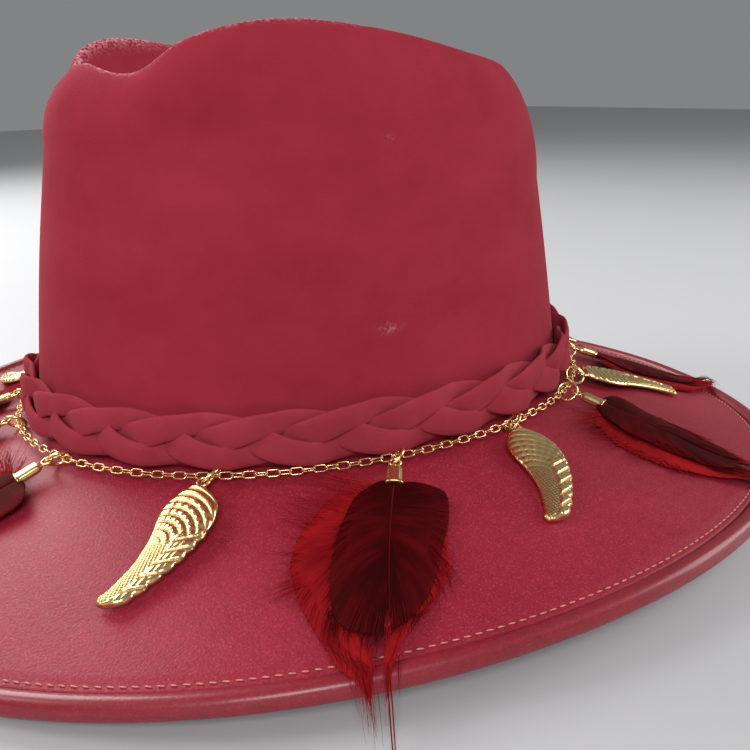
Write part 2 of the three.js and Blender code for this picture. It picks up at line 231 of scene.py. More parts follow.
class Surface(Tree):
    """A material's tree, with the patterns that the finishes share."""

    def __init__(self, name: str) -> None:
        """Makes an empty material.

        Args:
            name: the material's name.
        """
        self.material = bpy.data.materials.new(name)
        self.material.use_nodes = True
        super().__init__(self.material.node_tree)
        self.place = self.value("ShaderNodeTexCoord", "Object")

    def noise(self, size: float, detail: float = 3.0, stretch: Sequence[float] = (1, 1, 1)) -> Value:
        """Soft noise about as large as a size.

        Args:
            size: width of its patches, in millimetres.
            detail: octaves of finer noise.
            stretch: factor on the pattern's pace along each axis.

        Returns:
            Noise from 0 to 1.
        """
        settings = {"operation": "MULTIPLY"}
        place = self.value("ShaderNodeVectorMath", 0, settings, {0: self.place, 1: tuple(stretch)})
        inputs = {"Vector": place, "Scale": 1 / (size * MM), "Detail": detail, "Roughness": 0.55}
        return self.value("ShaderNodeTexNoise", 0, {"noise_dimensions": "3D"}, inputs)

    def streaks(self, across: Value, along: Value) -> Value:
        """Noise drawn out along one way.

        Args:
            across: place across the streaks, one unit to a streak.
            along: place along them.

        Returns:
            Noise from 0 to 1.
        """
        place = self.value("ShaderNodeCombineXYZ", 0, None, {"X": across, "Y": along, "Z": 0.0})
        settings = {"noise_dimensions": "2D"}
        return self.value("ShaderNodeTexNoise", 0, settings, {"Vector": place, "Scale": 1.0})

    def cells(self, size: float) -> Value:
        """Pebbled cells.

        Args:
            size: width of a cell, in millimetres.

        Returns:
            Distance from the nearest cell's middle.
        """
        inputs = {"Vector": self.place, "Scale": 1 / (size * MM)}
        return self.value("ShaderNodeTexVoronoi", "Distance", {"feature": "F1"}, inputs)

    def attribute(self, name: str) -> Value:
        """Number that a piece carries at each vertex.

        Args:
            name: the attribute's name.

        Returns:
            The number.
        """
        return self.value("ShaderNodeAttribute", "Fac", {"attribute_name": name})

    def ramp(self, factor: Value, stops: Sequence[tuple[float, tuple]]) -> Value:
        """Colour from a number.

        Args:
            factor: the number.
            stops: place and colour of each stop.

        Returns:
            The colour.
        """
        return self.value("ShaderNodeValToRGB", "Color", {"stops": stops}, {"Fac": factor})

    def blend(self, factor: Value, low: object, high: object) -> Value:
        """Mix of two colours.

        Args:
            factor: 0 for the first, 1 for the second.
            low: first colour, as a Value or three numbers.
            high: second colour, likewise.

        Returns:
            The mixed colour.
        """
        ends = [(*c, 1.0) if isinstance(c, tuple) else c for c in (low, high)]
        inputs = {"Factor_Float": factor, "A_Color": ends[0], "B_Color": ends[1]}
        return self.value("ShaderNodeMix", "Result_Color", {"data_type": "RGBA"}, inputs)

    def bump(self, height: Value, depth: float, strength: float, under: Value | None = None) -> Value:
        """Normal of a raised pattern.

        Args:
            height: the pattern, from 0 to 1.
            depth: its depth, in millimetres.
            strength: share of the effect.
            under: a normal that it lies on.

        Returns:
            The normal.
        """
        inputs = {"Height": height, "Distance": depth * MM, "Strength": strength}
        if under is not None:
            inputs["Normal"] = under
        return self.value("ShaderNodeBump", "Normal", None, inputs)

    def close(self, inputs: dict) -> bpy.types.Material:
        """Ends the material in a Principled shader.

        Args:
            inputs: the shader's values and links.

        Returns:
            The material.
        """
        shader = self.node("ShaderNodeBsdfPrincipled", None, inputs)
        self.node("ShaderNodeOutputMaterial", None, {"Surface": shader.outputs[0]})
        return self.material


# ---- finishes ---------------------------------------------------------------------------------

Colour = tuple[float, float, float]


@dataclass(frozen=True)
class SuedeFinish:
    """Matte burgundy suede: brushed patches, short nap, and an edge rubbed pale where it is worn."""

    name: str = "suede"
    dark: Colour = (0.252, 0.017, 0.030)
    middle: Colour = (0.278, 0.021, 0.037)
    light: Colour = (0.306, 0.024, 0.043)
    rubbed: Colour = (0.72, 0.34, 0.38)
    sheen: float = 0.06

    def material(self) -> bpy.types.Material:
        """The suede as a material."""
        s = Surface(self.name)
        patches = s.noise(42.0, 3.0, (1, 1, 1.8)) * 0.7 + s.noise(9.0, 3.0) * 0.3
        stops = [(0.36, self.dark), (0.5, self.middle), (0.66, self.light)]
        brushed = s.ramp(patches, stops)
        nap = s.noise(0.5, 4.0)
        colour = s.blend(nap * 0.35, brushed, self.light)
        specks = (s.noise(1.1, 2.0) - 0.42) * 5.0
        worn = (s.attribute("rub") * specks.most(0.0)).least(1.0)
        colour = s.blend(worn * 0.9, colour, self.rubbed)
        normal = s.bump(nap, 0.14, 0.6)
        normal = s.bump(patches, 0.8, 0.10, normal)
        return s.close({
            "Base Color": colour,
            "Roughness": 0.86 + nap * 0.1,
            "Specular IOR Level": 0.06,
            "Sheen Weight": self.sheen,
            "Sheen Roughness": 0.45,
            "Sheen Tint": (1.0, 0.35, 0.42, 1.0),
            "Normal": normal,
        })


@dataclass(frozen=True)
class LeatherFinish:
    """Smooth burgundy leather with a fine pebbled grain, a satin gloss and painted pale pink specks of sheen.
    """

    name: str
    dark: Colour = (0.235, 0.009, 0.022)
    light: Colour = (0.315, 0.014, 0.034)
    painted_sheen_colour: Colour = (0.52, 0.10, 0.15)
    grain: float = 0.75
    roughness: float = 0.42
    specular: float = 0.28
    coat: float = 0.0
    coat_roughness: float = 0.14
    relief: float = 0.8

    def material(self) -> bpy.types.Material:
        """The leather as a material."""
        s = Surface(self.name)
        grain = s.cells(self.grain)
        creases = s.noise(3.2, 4.0)
        tone = s.noise(46.0, 3.0) * 0.6 + creases * 0.4
        colour = s.ramp(tone, [(0.35, self.dark), (0.65, self.light)])
        # Painted highlight: pale pink specks blended into the colour stand for the sheen caught by the grain.
        painted_sheen_specks = ((s.noise(0.6, 2.0) - 0.54) * 7.0).most(0.0).least(1.0)
        colour = s.blend(painted_sheen_specks * 0.30, colour, self.painted_sheen_colour)
        normal = s.bump(grain, 0.16 * self.relief, 0.5)
        normal = s.bump(s.noise(1.3, 3.0), 0.18 * self.relief, 0.5, normal)
        normal = s.bump(creases, 0.35 * self.relief, 0.2, normal)
        return s.close({
            "Base Color": colour,
            "Roughness": self.roughness + grain * 0.12 + creases * 0.08,
            "Specular IOR Level": self.specular,
            "Coat Weight": self.coat,
            "Coat Roughness": self.coat_roughness,
            "Normal": normal,
        })


@dataclass(frozen=True)
class GoldFinish:
    """Polished gold plate, with painted shade darkening its recesses and hollows."""

    name: str = "gold"
    bright: Colour = (0.98, 0.72, 0.33)
    painted_shade_colour: Colour = (0.15, 0.052, 0.012)
    roughness: float = 0.2

    def material(self) -> bpy.types.Material:
        """The gold as a material."""
        s = Surface(self.name)
        cloud = s.noise(2.2, 3.0)
        groove_shade = s.attribute("groove_shade")
        # Painted shade: the groove value darkens the gold towards a dark brown in recesses and hollows; the
        # cloud adds a little random tone.
        colour = s.blend((groove_shade * 0.85 + cloud * 0.12).least(1.0), self.bright, self.painted_shade_colour)
        return s.close({
            "Base Color": colour,
            "Metallic": 1.0,
            "Roughness": self.roughness + groove_shade * 0.35 + cloud * 0.10,
            "Normal": s.bump(s.noise(0.8, 2.0), 0.03, 0.4),
        })


@dataclass(frozen=True)
class ThreadFinish:
    """Pale peach sewing thread."""

    name: str = "thread"
    dark: Colour = (0.42, 0.13, 0.10)
    light: Colour = (0.66, 0.30, 0.23)

    def material(self) -> bpy.types.Material:
        """The thread as a material."""
        s = Surface(self.name)
        twist = s.noise(0.35, 2.0)
        return s.close({
            "Base Color": s.ramp(twist, [(0.35, self.dark), (0.6, self.light)]),
            "Roughness": 0.6,
            "Normal": s.bump(twist, 0.08, 0.6),
        })


@dataclass(frozen=True)
class FeatherFinish:
    """Dyed feather: fine barbs side by side, clumps of slightly different tone, and a soft edge."""

    name: str = "dyed feather"
    dark: Colour = (0.030, 0.0004, 0.0010)
    middle: Colour = (0.150, 0.0025, 0.005)
    bright: Colour = (0.400, 0.010, 0.014)
    light: Colour = (0.560, 0.030, 0.050)
    roughness: float = 0.6

    def material(self) -> bpy.types.Material:
        """The feather as a material."""
        s = Surface(self.name)
        barb, reach = s.attribute("barb"), s.attribute("reach")
        fine = s.streaks(barb * 210.0, reach * 1.6)
        clump = s.streaks(barb * 9.0, reach * 1.1)
        tone = s.attribute("tone") + (clump - 0.5) * 0.22 + (fine - 0.5) * 0.26
        stops = [(0.12, self.dark), (0.42, self.middle), (0.68, self.bright), (0.95, self.light)]
        edge = (fine - 0.30) * 6.0 + (1.0 - reach) * 14.0
        return s.close({
            "Base Color": s.ramp(tone, stops),
            "Roughness": self.roughness + fine * 0.2,
            "Specular IOR Level": 0.04,
            "Sheen Weight": 0.03,
            "Sheen Roughness": 0.4,
            "Sheen Tint": (1.0, 0.2, 0.2, 1.0),
            "Alpha": edge.most(0.0).least(1.0),
            "Normal": s.bump(fine, 0.12, 0.5),
        })


@dataclass(frozen=True)
class FloorFinish:
    """Plain pale studio floor."""

    name: str = "floor"
    colour: Colour = (0.56, 0.56, 0.57)

    def material(self) -> bpy.types.Material:
        """The floor as a material."""
        s = Surface(self.name)
        shade = s.noise(120.0, 2.0)
        low = tuple(0.97 * c for c in self.colour)
        return s.close({"Base Color": s.blend(shade, low, self.colour), "Roughness": 0.6})


# ---- meshes -----------------------------------------------------------------------------------


def mesh_object(
    name: str,
    points: np.ndarray,
    faces: np.ndarray,
    material: bpy.types.Material,
    values: dict[str, np.ndarray] | None = None,
) -> bpy.types.Object:
    """Makes a smooth mesh object at the origin.

    Args:
        name: the piece's name.
        points: its vertices, in millimetres.
        faces: its quads or triangles.
        material: its finish.
        values: numbers for each vertex, by attribute name.

    Returns:
        The object, linked to the scene.
    """
    mesh = bpy.data.meshes.new(name)
    mesh.from_pydata((points * MM).tolist(), [], faces.tolist())
    for key, numbers in (values or {}).items():
        layer = mesh.attributes.new(key, "FLOAT", "POINT")
        layer.data.foreach_set("value", np.asarray(numbers, dtype=np.float32))
    mesh.materials.append(material)
    mesh.shade_smooth()
    piece = bpy.data.objects.new(name, mesh)
    bpy.context.scene.collection.objects.link(piece)
    return piece


def grid_faces(rows: int, columns: int, wrap_rows: bool = False, wrap_columns: bool = False) -> np.ndarray:
    """Quads of a grid of points stored row by row.

    Args:
        rows: number of rows.
        columns: points in a row.
        wrap_rows: whether the last row joins the first.
        wrap_columns: whether each row closes on itself.

    Returns:
        The quads.
    """
    i = np.arange(rows if wrap_rows else rows - 1)[:, None]
    j = np.arange(columns if wrap_columns else columns - 1)[None, :]
    below, after = (i + 1) % rows, (j + 1) % columns
    corners = [i * columns + j, i * columns + after, below * columns + after, below * columns + j]
    return np.stack([c.ravel() for c in np.broadcast_arrays(*corners)], axis=1)


def face_outwards(piece: bpy.types.Object) -> bpy.types.Object:
    """Welds a closed mesh and turns its faces outwards.

    Args:
        piece: the object to mend.

    Returns:
        The same object.
    """
    mesh = bmesh.new()
    mesh.from_mesh(piece.data)
    bmesh.ops.remove_doubles(mesh, verts=mesh.verts, dist=2e-6)
    bmesh.ops.dissolve_degenerate(mesh, edges=mesh.edges, dist=1e-7)
    bmesh.ops.recalc_face_normals(mesh, faces=mesh.faces)
    mesh.to_mesh(piece.data)
    mesh.free()
    return piece


def line_object(
    name: str, lines: Sequence[np.ndarray], values: dict[str, Sequence[np.ndarray]]
) -> bpy.types.Object:
    """Makes an object of loose edges along lines, for a node tree to grow on.

    Args:
        name: the object's name.
        lines: points of each line, in millimetres; a line of one point is a lone vertex.
        values: numbers for each point of each line, by attribute name.

    Returns:
        The object.
    """
    edges, start = [], 0
    for line in lines:
        edges += [(start + i, start + i + 1) for i in range(len(line) - 1)]
        start += len(line)
    mesh = bpy.data.meshes.new(name)
    mesh.from_pydata((np.concatenate(lines) * MM).tolist(), edges, [])
    for key, numbers in values.items():
        flat = np.concatenate(numbers).astype(np.float32)
        kind = "FLOAT_VECTOR" if flat.ndim == 2 else "FLOAT"
        layer = mesh.attributes.new(key, kind, "POINT")
        layer.data.foreach_set("vector" if flat.ndim == 2 else "value", flat.ravel())
    piece = bpy.data.objects.new(name, mesh)
    bpy.context.scene.collection.objects.link(piece)
    return piece


class Grower(Tree):
    """A Geometry Nodes tree with named sizes, which grows a piece on the points or lines it is given."""

    def __init__(self, name: str, sizes: dict[str, float]) -> None:
        """Starts a tree.

        Args:
            name: the tree's name.
            sizes: its named inputs and their usual values, in millimetres or as plain numbers.
        """
        group = bpy.data.node_groups.new(name, "GeometryNodeTree")
        face = group.interface
        face.new_socket(name="Geometry", in_out="INPUT", socket_type="NodeSocketGeometry")
        for key, size in sizes.items():
            socket = face.new_socket(name=key, in_out="INPUT", socket_type="NodeSocketFloat")
            socket.default_value = size
        face.new_socket(name="Finish", in_out="INPUT", socket_type="NodeSocketMaterial")
        face.new_socket(name="Geometry", in_out="OUTPUT", socket_type="NodeSocketGeometry")
        super().__init__(group)
        self.inlet = self.node("NodeGroupInput")

    def entry(self, name: str) -> Value:
        """One of the tree's inputs."""
        return Value(self, self.inlet.outputs[name])

    def read(self, name: str, kind: str = "FLOAT") -> Value:
        """A named attribute of the points."""
        settings = {"data_type": kind}
        return self.value("GeometryNodeInputNamedAttribute", "Attribute", settings, {"Name": name})

    def end(self, geometry: Value) -> None:
        """Realizes, smooths and dresses the result.

        Args:
            geometry: what the tree has made.
        """
        real = self.value("GeometryNodeRealizeInstances", "Geometry", None, {"Geometry": geometry})
        smooth = self.value("GeometryNodeSetShadeSmooth", "Geometry", None, {"Geometry": real})
        inputs = {"Geometry": smooth, "Material": self.entry("Finish")}
        dressed = self.value("GeometryNodeSetMaterial", "Geometry", None, inputs)
        self.node("NodeGroupOutput", None, {"Geometry": dressed})

    def grow(
        self, name: str, base: bpy.types.Object, finish: bpy.types.Material, sizes: dict[str, float]
    ) -> bpy.types.Object:
        """Runs the tree on a base and keeps the result as a plain mesh.

        Args:
            name: the finished piece's name.
            base: object of points or lines, which is removed.
            finish: material of the piece.
            sizes: values of the named inputs that differ from the usual.

        Returns:
            The finished piece.
        """
        modifier = base.modifiers.new(self.tree.name, "NODES")
        modifier.node_group = self.tree
        for item in self.tree.interface.items_tree:
            if item.in_out == "INPUT" and item.name in sizes:
                modifier[item.identifier] = float(sizes[item.name])
            elif item.in_out == "INPUT" and item.name == "Finish":
                modifier[item.identifier] = finish
        graph = bpy.context.evaluated_depsgraph_get()
        mesh = bpy.data.meshes.new_from_object(base.evaluated_get(graph), depsgraph=graph)
        mesh.name = name
        source = base.data
        bpy.data.objects.remove(base)
        bpy.data.meshes.remove(source)
        if not mesh.materials:
            mesh.materials.append(finish)
        piece = bpy.data.objects.new(name, mesh)
        bpy.context.scene.collection.objects.link(piece)
        return piece


def link_grower() -> Grower:
    """Tree that puts a chain link on each point.

    Returns:
        The tree, with inputs for the link's length, width and wire.
    """
    g = Grower("chain links", {"Link length": 4.3, "Link width": 2.4, "Wire": 0.5})
    wire = g.entry("Wire") * MM
    size = {
        "Width": g.entry("Link length") * MM - wire,
        "Height": g.entry("Link width") * MM - wire,
    }
    frame_line = g.value("GeometryNodeCurvePrimitiveQuadrilateral", "Curve", {"mode": "RECTANGLE"}, size)
    rounding = {"Curve": frame_line, "Count": 4, "Radius": size["Height"] * 0.42, "Limit Radius": True}
    oval_line = g.value("GeometryNodeFilletCurve", "Curve", {"mode": "POLY"}, rounding)
    circle = {"Resolution": 6, "Radius": wire * 0.5}
    profile = g.value("GeometryNodeCurvePrimitiveCircle", "Curve", None, circle)
    parts = {"Curve": oval_line, "Profile Curve": profile}
    link = g.value("GeometryNodeCurveToMesh", "Mesh", None, parts)
    g.end(placed_on_points(g, link))
    return g


def placed_on_points(g: Grower, instance: Value) -> Value:
    """Puts an instance on each point, turned by the attributes along and up.

    Args:
        g: the tree.
        instance: the geometry to repeat, with X along and Z up.

    Returns:
        The instances.
    """
    settings = {"primary_axis": "X", "secondary_axis": "Z"}
    axes = {"Primary Axis": g.read("along", "FLOAT_VECTOR"), "Secondary Axis": g.read("up", "FLOAT_VECTOR")}
    turn = g.value("FunctionNodeAxesToRotation", "Rotation", settings, axes)
    inputs = {"Points": g.entry("Geometry"), "Instance": instance, "Rotation": turn}
    return g.value("GeometryNodeInstanceOnPoints", "Instances", None, inputs)


def stitch_grower() -> Grower:
    """Tree that puts a sewn stitch on each point.

    Returns:
        The tree, with inputs for the stitch's length and thickness.
    """
    g = Grower("stitches", {"Stitch length": 2.6, "Thread": 0.6})
    ball = g.value("GeometryNodeMeshUVSphere", "Mesh", None, {"Segments": 8, "Rings": 6, "Radius": 0.5 * MM})
    thread = g.entry("Thread")
    sizes = {"X": g.entry("Stitch length"), "Y": thread, "Z": thread}
    scale = g.value("ShaderNodeCombineXYZ", "Vector", None, sizes)
    stitch = g.value("GeometryNodeTransform", "Geometry", None, {"Geometry": ball, "Scale": scale})
    g.end(placed_on_points(g, stitch))
    return g


def barb_grower() -> Grower:
    """Tree that runs a tapering hair along each line, as wide as the attribute thick says.

    Returns:
        The tree, with an input for how flat a hair is.
    """
    g = Grower("hairs", {"Flatness": 0.7})
    lines = g.value("GeometryNodeMeshToCurve", "Curve", None, {"Mesh": g.entry("Geometry")})
    level = g.value("GeometryNodeSetCurveNormal", "Curve", {"mode": "Z_UP"}, {"Curve": lines})
    ring = g.value("GeometryNodeCurvePrimitiveCircle", "Curve", None, {"Resolution": 3, "Radius": MM})
    scale = g.value("ShaderNodeCombineXYZ", "Vector", None, {"X": 1.0, "Y": g.entry("Flatness"), "Z": 1.0})
    profile = g.value("GeometryNodeTransform", "Geometry", None, {"Geometry": ring, "Scale": scale})
    parts = {"Curve": level, "Profile Curve": profile, "Scale": g.read("thick"), "Fill Caps": True}
    g.end(g.value("GeometryNodeCurveToMesh", "Mesh", None, parts))
    return g


# ---- form of the hat --------------------------------------------------------------------------


def smoothstep(x: np.ndarray, low: float, high: float) -> np.ndarray:
    """Soft step from 0 at low to 1 at high."""
    t = np.clip((x - low) / (high - low), 0.0, 1.0)
    return t * t * (3 - 2 * t)


def smooth_row(at: np.ndarray, places: Sequence[float], values: Sequence[float]) -> np.ndarray:
    """Smooth curve through a row of values.

    Args:
        at: where the curve is read.
        places: increasing places of the values.
        values: the values.

    Returns:
        The curve's value at each place asked for.
    """
    x, y = np.asarray(places, float), np.asarray(values, float)
    slope = np.zeros_like(y)
    slope[1:-1] = (y[2:] - y[:-2]) / (x[2:] - x[:-2])
    span = np.clip(np.searchsorted(x, at) - 1, 0, len(x) - 2)
    width = x[span + 1] - x[span]
    t = (at - x[span]) / width
    rise = t * t * (3 - 2 * t)
    leave = t * (1 - t) ** 2 * width * slope[span]
    arrive = t * t * (1 - t) * width * slope[span + 1]
    return y[span] * (1 - rise) + y[span + 1] * rise + leave - arrive


@dataclass(frozen=True)
class HatForm:
    """Oval plan and brim surface that every piece is placed on."""

    half_width: float = 84.0
    half_length: float = 100.0
    top: float = 33.2
    fall: float = 30.3
    side_lift: float = 11.8
    rest_half_angle: float = 14.0
    brim_width: float = 90.0
    leather_edge: float = 84.0
    gap: float = 0.3
    wall: float = 2.5
    foot: float = 5.3
    taper: float = 0.108
    curve: float = 0.00027

    def oval(self, theta: np.ndarray, offset: np.ndarray) -> tuple[np.ndarray, np.ndarray, np.ndarray]:
        """Plan point outside the crown's foot.

        Args:
            theta: angle round the hat.
            offset: distance out from the foot.

        Returns:
            Its x and y, and the outward heading there.
        """
        nx = self.half_length * np.cos(theta)
        ny = self.half_width * np.sin(theta)
        size = np.hypot(nx, ny)
        x = self.half_width * np.cos(theta) + offset * nx / size
        y = self.half_length * np.sin(theta) + offset * ny / size
        return x, y, np.arctan2(ny, nx)

    def wall_offset(self, z: np.ndarray) -> np.ndarray:
        """Offset of the crown's wall at a height over the brim."""
        return self.foot - self.taper * z - self.curve * z * z

    def side_share(self, theta: np.ndarray) -> np.ndarray:
        """Share of the side lift: 0 over the rests at front and back, 1 at the sides."""
        flat = math.sin(math.radians(self.rest_half_angle)) ** 2
        return np.maximum(0.0, (np.cos(theta) ** 2 - flat) / (1 - flat))

    def brim_top(self, theta: np.ndarray, offset: np.ndarray) -> np.ndarray:
        """Height of the brim's upper face."""
        fall = self.fall - self.side_lift * self.side_share(theta)
        return self.top - fall * np.maximum(0.0, offset) / self.brim_width

    def coordinates(self, x: np.ndarray, y: np.ndarray) -> tuple[np.ndarray, np.ndarray]:
        """Angle and offset of a plan point outside the crown.

        Args:
            x: its x.
            y: its y.

        Returns:
            The angle and the offset.
        """
        a, b = self.half_width, self.half_length
        theta = np.arctan2(y * a, x * b)
        for _ in range(8):
            s, c = np.sin(theta), np.cos(theta)
            f = (b * b - a * a) * s * c + x * a * s - y * b * c
            theta = theta - f / ((b * b - a * a) * (c * c - s * s) + x * a * c + y * b * s)
        foot_x, foot_y, _ = self.oval(theta, 0.0)
        return theta, np.hypot(x - foot_x, y - foot_y)

    def ground(self, x: np.ndarray, y: np.ndarray) -> np.ndarray:
        """Height of the brim under a plan point."""
        theta, offset = self.coordinates(x, y)
        return self.brim_top(theta, np.minimum(offset, self.brim_width))

    def roll_base(self, theta: np.ndarray) -> np.ndarray:
        """Height of the rolled edge's underside."""
        return self.brim_top(theta, self.leather_edge) - self.brim_top(-math.pi / 2, self.leather_edge)

    def points(self, theta: np.ndarray, offset: np.ndarray, z: np.ndarray) -> np.ndarray:
        """Points by angle, offset and height."""
        x, y, _ = self.oval(theta, offset)
        return np.stack(np.broadcast_arrays(x, y, z), axis=-1)


FORM = HatForm()


def settle(
    piece: bpy.types.Object, nodes: Sequence[str]
) -> bpy.types.Object:
    """Fixes a finished piece to the hat, hides the frame's pieces that it replaces and logs its faces.

    Args:
        piece: the finished piece.
        nodes: the frame's pieces that it replaces.

    Returns:
        The same piece.
    """
    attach(piece, "root")
    if nodes:
        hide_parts(*nodes)
    LOG.info("%s: %d faces", piece.name, len(piece.data.polygons))
    return piece


# ---- crown ------------------------------------------------------------------------------------


@dataclass
class Crown:
    """Hollow suede crown with a teardrop dent and a pinch at the front."""

    angles: tuple[float, ...] = (0, 25, 42, 60, 80, 110, 145, 180)
    heights: tuple[float, ...] = (119.5, 116, 125.5, 130, 127.5, 120, 116, 115)
    insets: tuple[float, ...] = (22, 19, 16, 15, 15, 17, 21, 24)
    shoulders: tuple[float, ...] = (24, 24, 26, 30, 32, 38, 42, 42)
    dent_floor: float = 90.0
    crease_reach: float = 0.6
    sweep: float = math.radians(70)
    pinch: tuple[float, float, float, float, float] = (40, 92, 4, 20, 24)
    around: int = 280
    wall_rows: int = 36
    shoulder_rows: int = 24
    dent_rows: int = 30
    ridge_radius: float = 1.5
    rim_wear: float = 0.10
    rim_spread: float = 1.5
    wear_fades: tuple[float, float] = (62.0, 84.0)
    scuff_wear: float = 0.26
    scuffs: tuple[tuple[float, float, float, float], ...] = (
        (-12.5, 14.0, 1.8, 0.25),
        (-9.5, 35.0, 0.5, 0.25),
    )

    def _columns(self, theta: np.ndarray) -> np.ndarray:
        """Outer face, column by column from the foot over the ridge to the crease.

        Args:
            theta: angle of each column.

        Returns:
            Points, by column and row.
        """
        turned = np.abs(np.degrees(theta) + 90) % 360
        front = np.where(turned > 180, 360 - turned, turned)[:, None]
        top = smooth_row(front, self.angles, self.heights)
        inset = smooth_row(front, self.angles, self.insets)
        shoulder = smooth_row(front, self.angles, self.shoulders)
        lean = FORM.wall_offset(top - shoulder)
        foot = FORM.brim_top(0.0, FORM.foot - FORM.wall) + FORM.gap - FORM.top
        rise = np.linspace(0, 1, self.wall_rows)[None, :]
        wall_z = foot + (top - shoulder - foot) * rise
        arc = self.sweep * np.linspace(0, 1, self.shoulder_rows + 1)[None, 1:]
        inward = (1 - np.cos(arc)) / (1 - math.cos(self.sweep))
        over_z = top - shoulder + shoulder * np.sin(arc) / math.sin(self.sweep)
        z = np.concatenate([wall_z, over_z], axis=1)
        offset = np.concatenate([FORM.wall_offset(wall_z), lean - (inset + lean) * inward], axis=1)
        at, height, depth, spread, reach = self.pinch
        offset = offset - depth * np.exp(-(((front - at) / spread) ** 2) - ((z - height) / reach) ** 2)
        skin = FORM.points(theta[:, None], offset, FORM.top + z)
        ridge = skin[:, -1:, :]
        q = np.linspace(0, 1, self.dent_rows + 1)[None, 1:]
        sink = (ridge[..., 2] - FORM.top - self.dent_floor) * (1 - (1 - q) ** 2)
        dent = np.stack(
            [
                ridge[..., 0] * (1 - q),
                ridge[..., 1] * (1 - q * (1 - self.crease_reach)),
                ridge[..., 2] - sink,
            ],
            axis=-1,
        )
        return np.concatenate([skin, dent], axis=1)

    def _eased(self, skin: np.ndarray) -> np.ndarray:
        """Rounds the ridge a little along each column.

        Args:
            skin: points, by column and row.

        Returns:
            The same points with the ridge eased.
        """
        ridge = self.wall_rows + self.shoulder_rows - 1
        rows = np.arange(skin.shape[1])
        weight = np.exp(-(((rows - ridge) / self.ridge_radius) ** 2))[None, :, None]
        eased = skin.copy()
        for _ in range(3):
            middle = (eased[:, :-2] + eased[:, 2:]) / 2
            eased[:, 1:-1] += (middle - eased[:, 1:-1]) * weight[:, 1:-1] * 0.6
        return eased

    def _rub(self, theta: np.ndarray, rows: int) -> np.ndarray:
        """How far the nap is rubbed off, by column and row.

        Args:
            theta: angle of each column.
            rows: rows in a column.

        Returns:
            Wear from 0 to 1.
        """
        ridge = self.wall_rows + self.shoulder_rows - 1
        turned = np.abs((np.degrees(theta) + 90 + 180) % 360 - 180)
        front = 1 - smoothstep(turned, *self.wear_fades)
        along = np.exp(-(((np.arange(rows) - ridge + 0.4) / self.rim_spread) ** 2))
        rub = (self.rim_wear + (1 - self.rim_wear) * front)[:, None] * along[None, :]
        for angle, row, wide, high in self.scuffs:
            away = (np.degrees(theta)[:, None] - angle + 180) % 360 - 180
            spread = (away / wide) ** 2 + ((np.arange(rows)[None, :] - row) / high) ** 2
            rub += self.scuff_wear * np.exp(-spread)
        return rub

    def build(self, suede: bpy.types.Material) -> bpy.types.Object:
        """Makes the crown.

        Args:
            suede: its finish.

        Returns:
            The finished piece.
        """
        theta = math.radians(-90) + 2 * math.pi * np.arange(self.around) / self.around
        skin = self._eased(self._columns(theta))
        columns, rows, _ = skin.shape
        rub = self._rub(theta, rows)
        faces = grid_faces(columns, rows, wrap_rows=True)
        shell = mesh_object("crown_shell", skin.reshape(-1, 3), faces, suede, {"rub": rub.ravel()})
        face_outwards_open(shell, Vector((0, 0, 1)))
        add_wall(shell, FORM.wall)
        return settle(shell, ["crown"])


def face_outwards_open(piece: bpy.types.Object, top: Vector) -> None:
    """Welds an open skin and turns it so that its highest face looks up.

    Args:
        piece: the skin.
        top: direction that its highest face should look to.
    """
    mesh = bmesh.new()
    mesh.from_mesh(piece.data)
    bmesh.ops.remove_doubles(mesh, verts=mesh.verts, dist=2e-5)
    bmesh.ops.recalc_face_normals(mesh, faces=mesh.faces)
    highest = max(mesh.faces, key=lambda face: face.calc_center_median().z)
    if highest.normal.dot(top) < 0:
        bmesh.ops.reverse_faces(mesh, faces=mesh.faces)
    mesh.to_mesh(piece.data)
    mesh.free()


def add_wall(piece: bpy.types.Object, wall: float) -> None:
    """Gives an open skin a wall on its inner side.

    Args:
        piece: the skin, facing outwards.
        wall: thickness in millimetres.
    """
    modifier = piece.modifiers.new("wall", "SOLIDIFY")
    modifier.thickness = wall * MM
    modifier.offset = -1
    modifier.use_even_offset = False
    graph = bpy.context.evaluated_depsgraph_get()
    mesh = bpy.data.meshes.new_from_object(piece.evaluated_get(graph), depsgraph=graph)
    piece.modifiers.clear()
    old = piece.data
    piece.data = mesh
    bpy.data.meshes.remove(old)
    mesh.name = piece.name


# ---- brim, rolled edge and stitching ----------------------------------------------------------


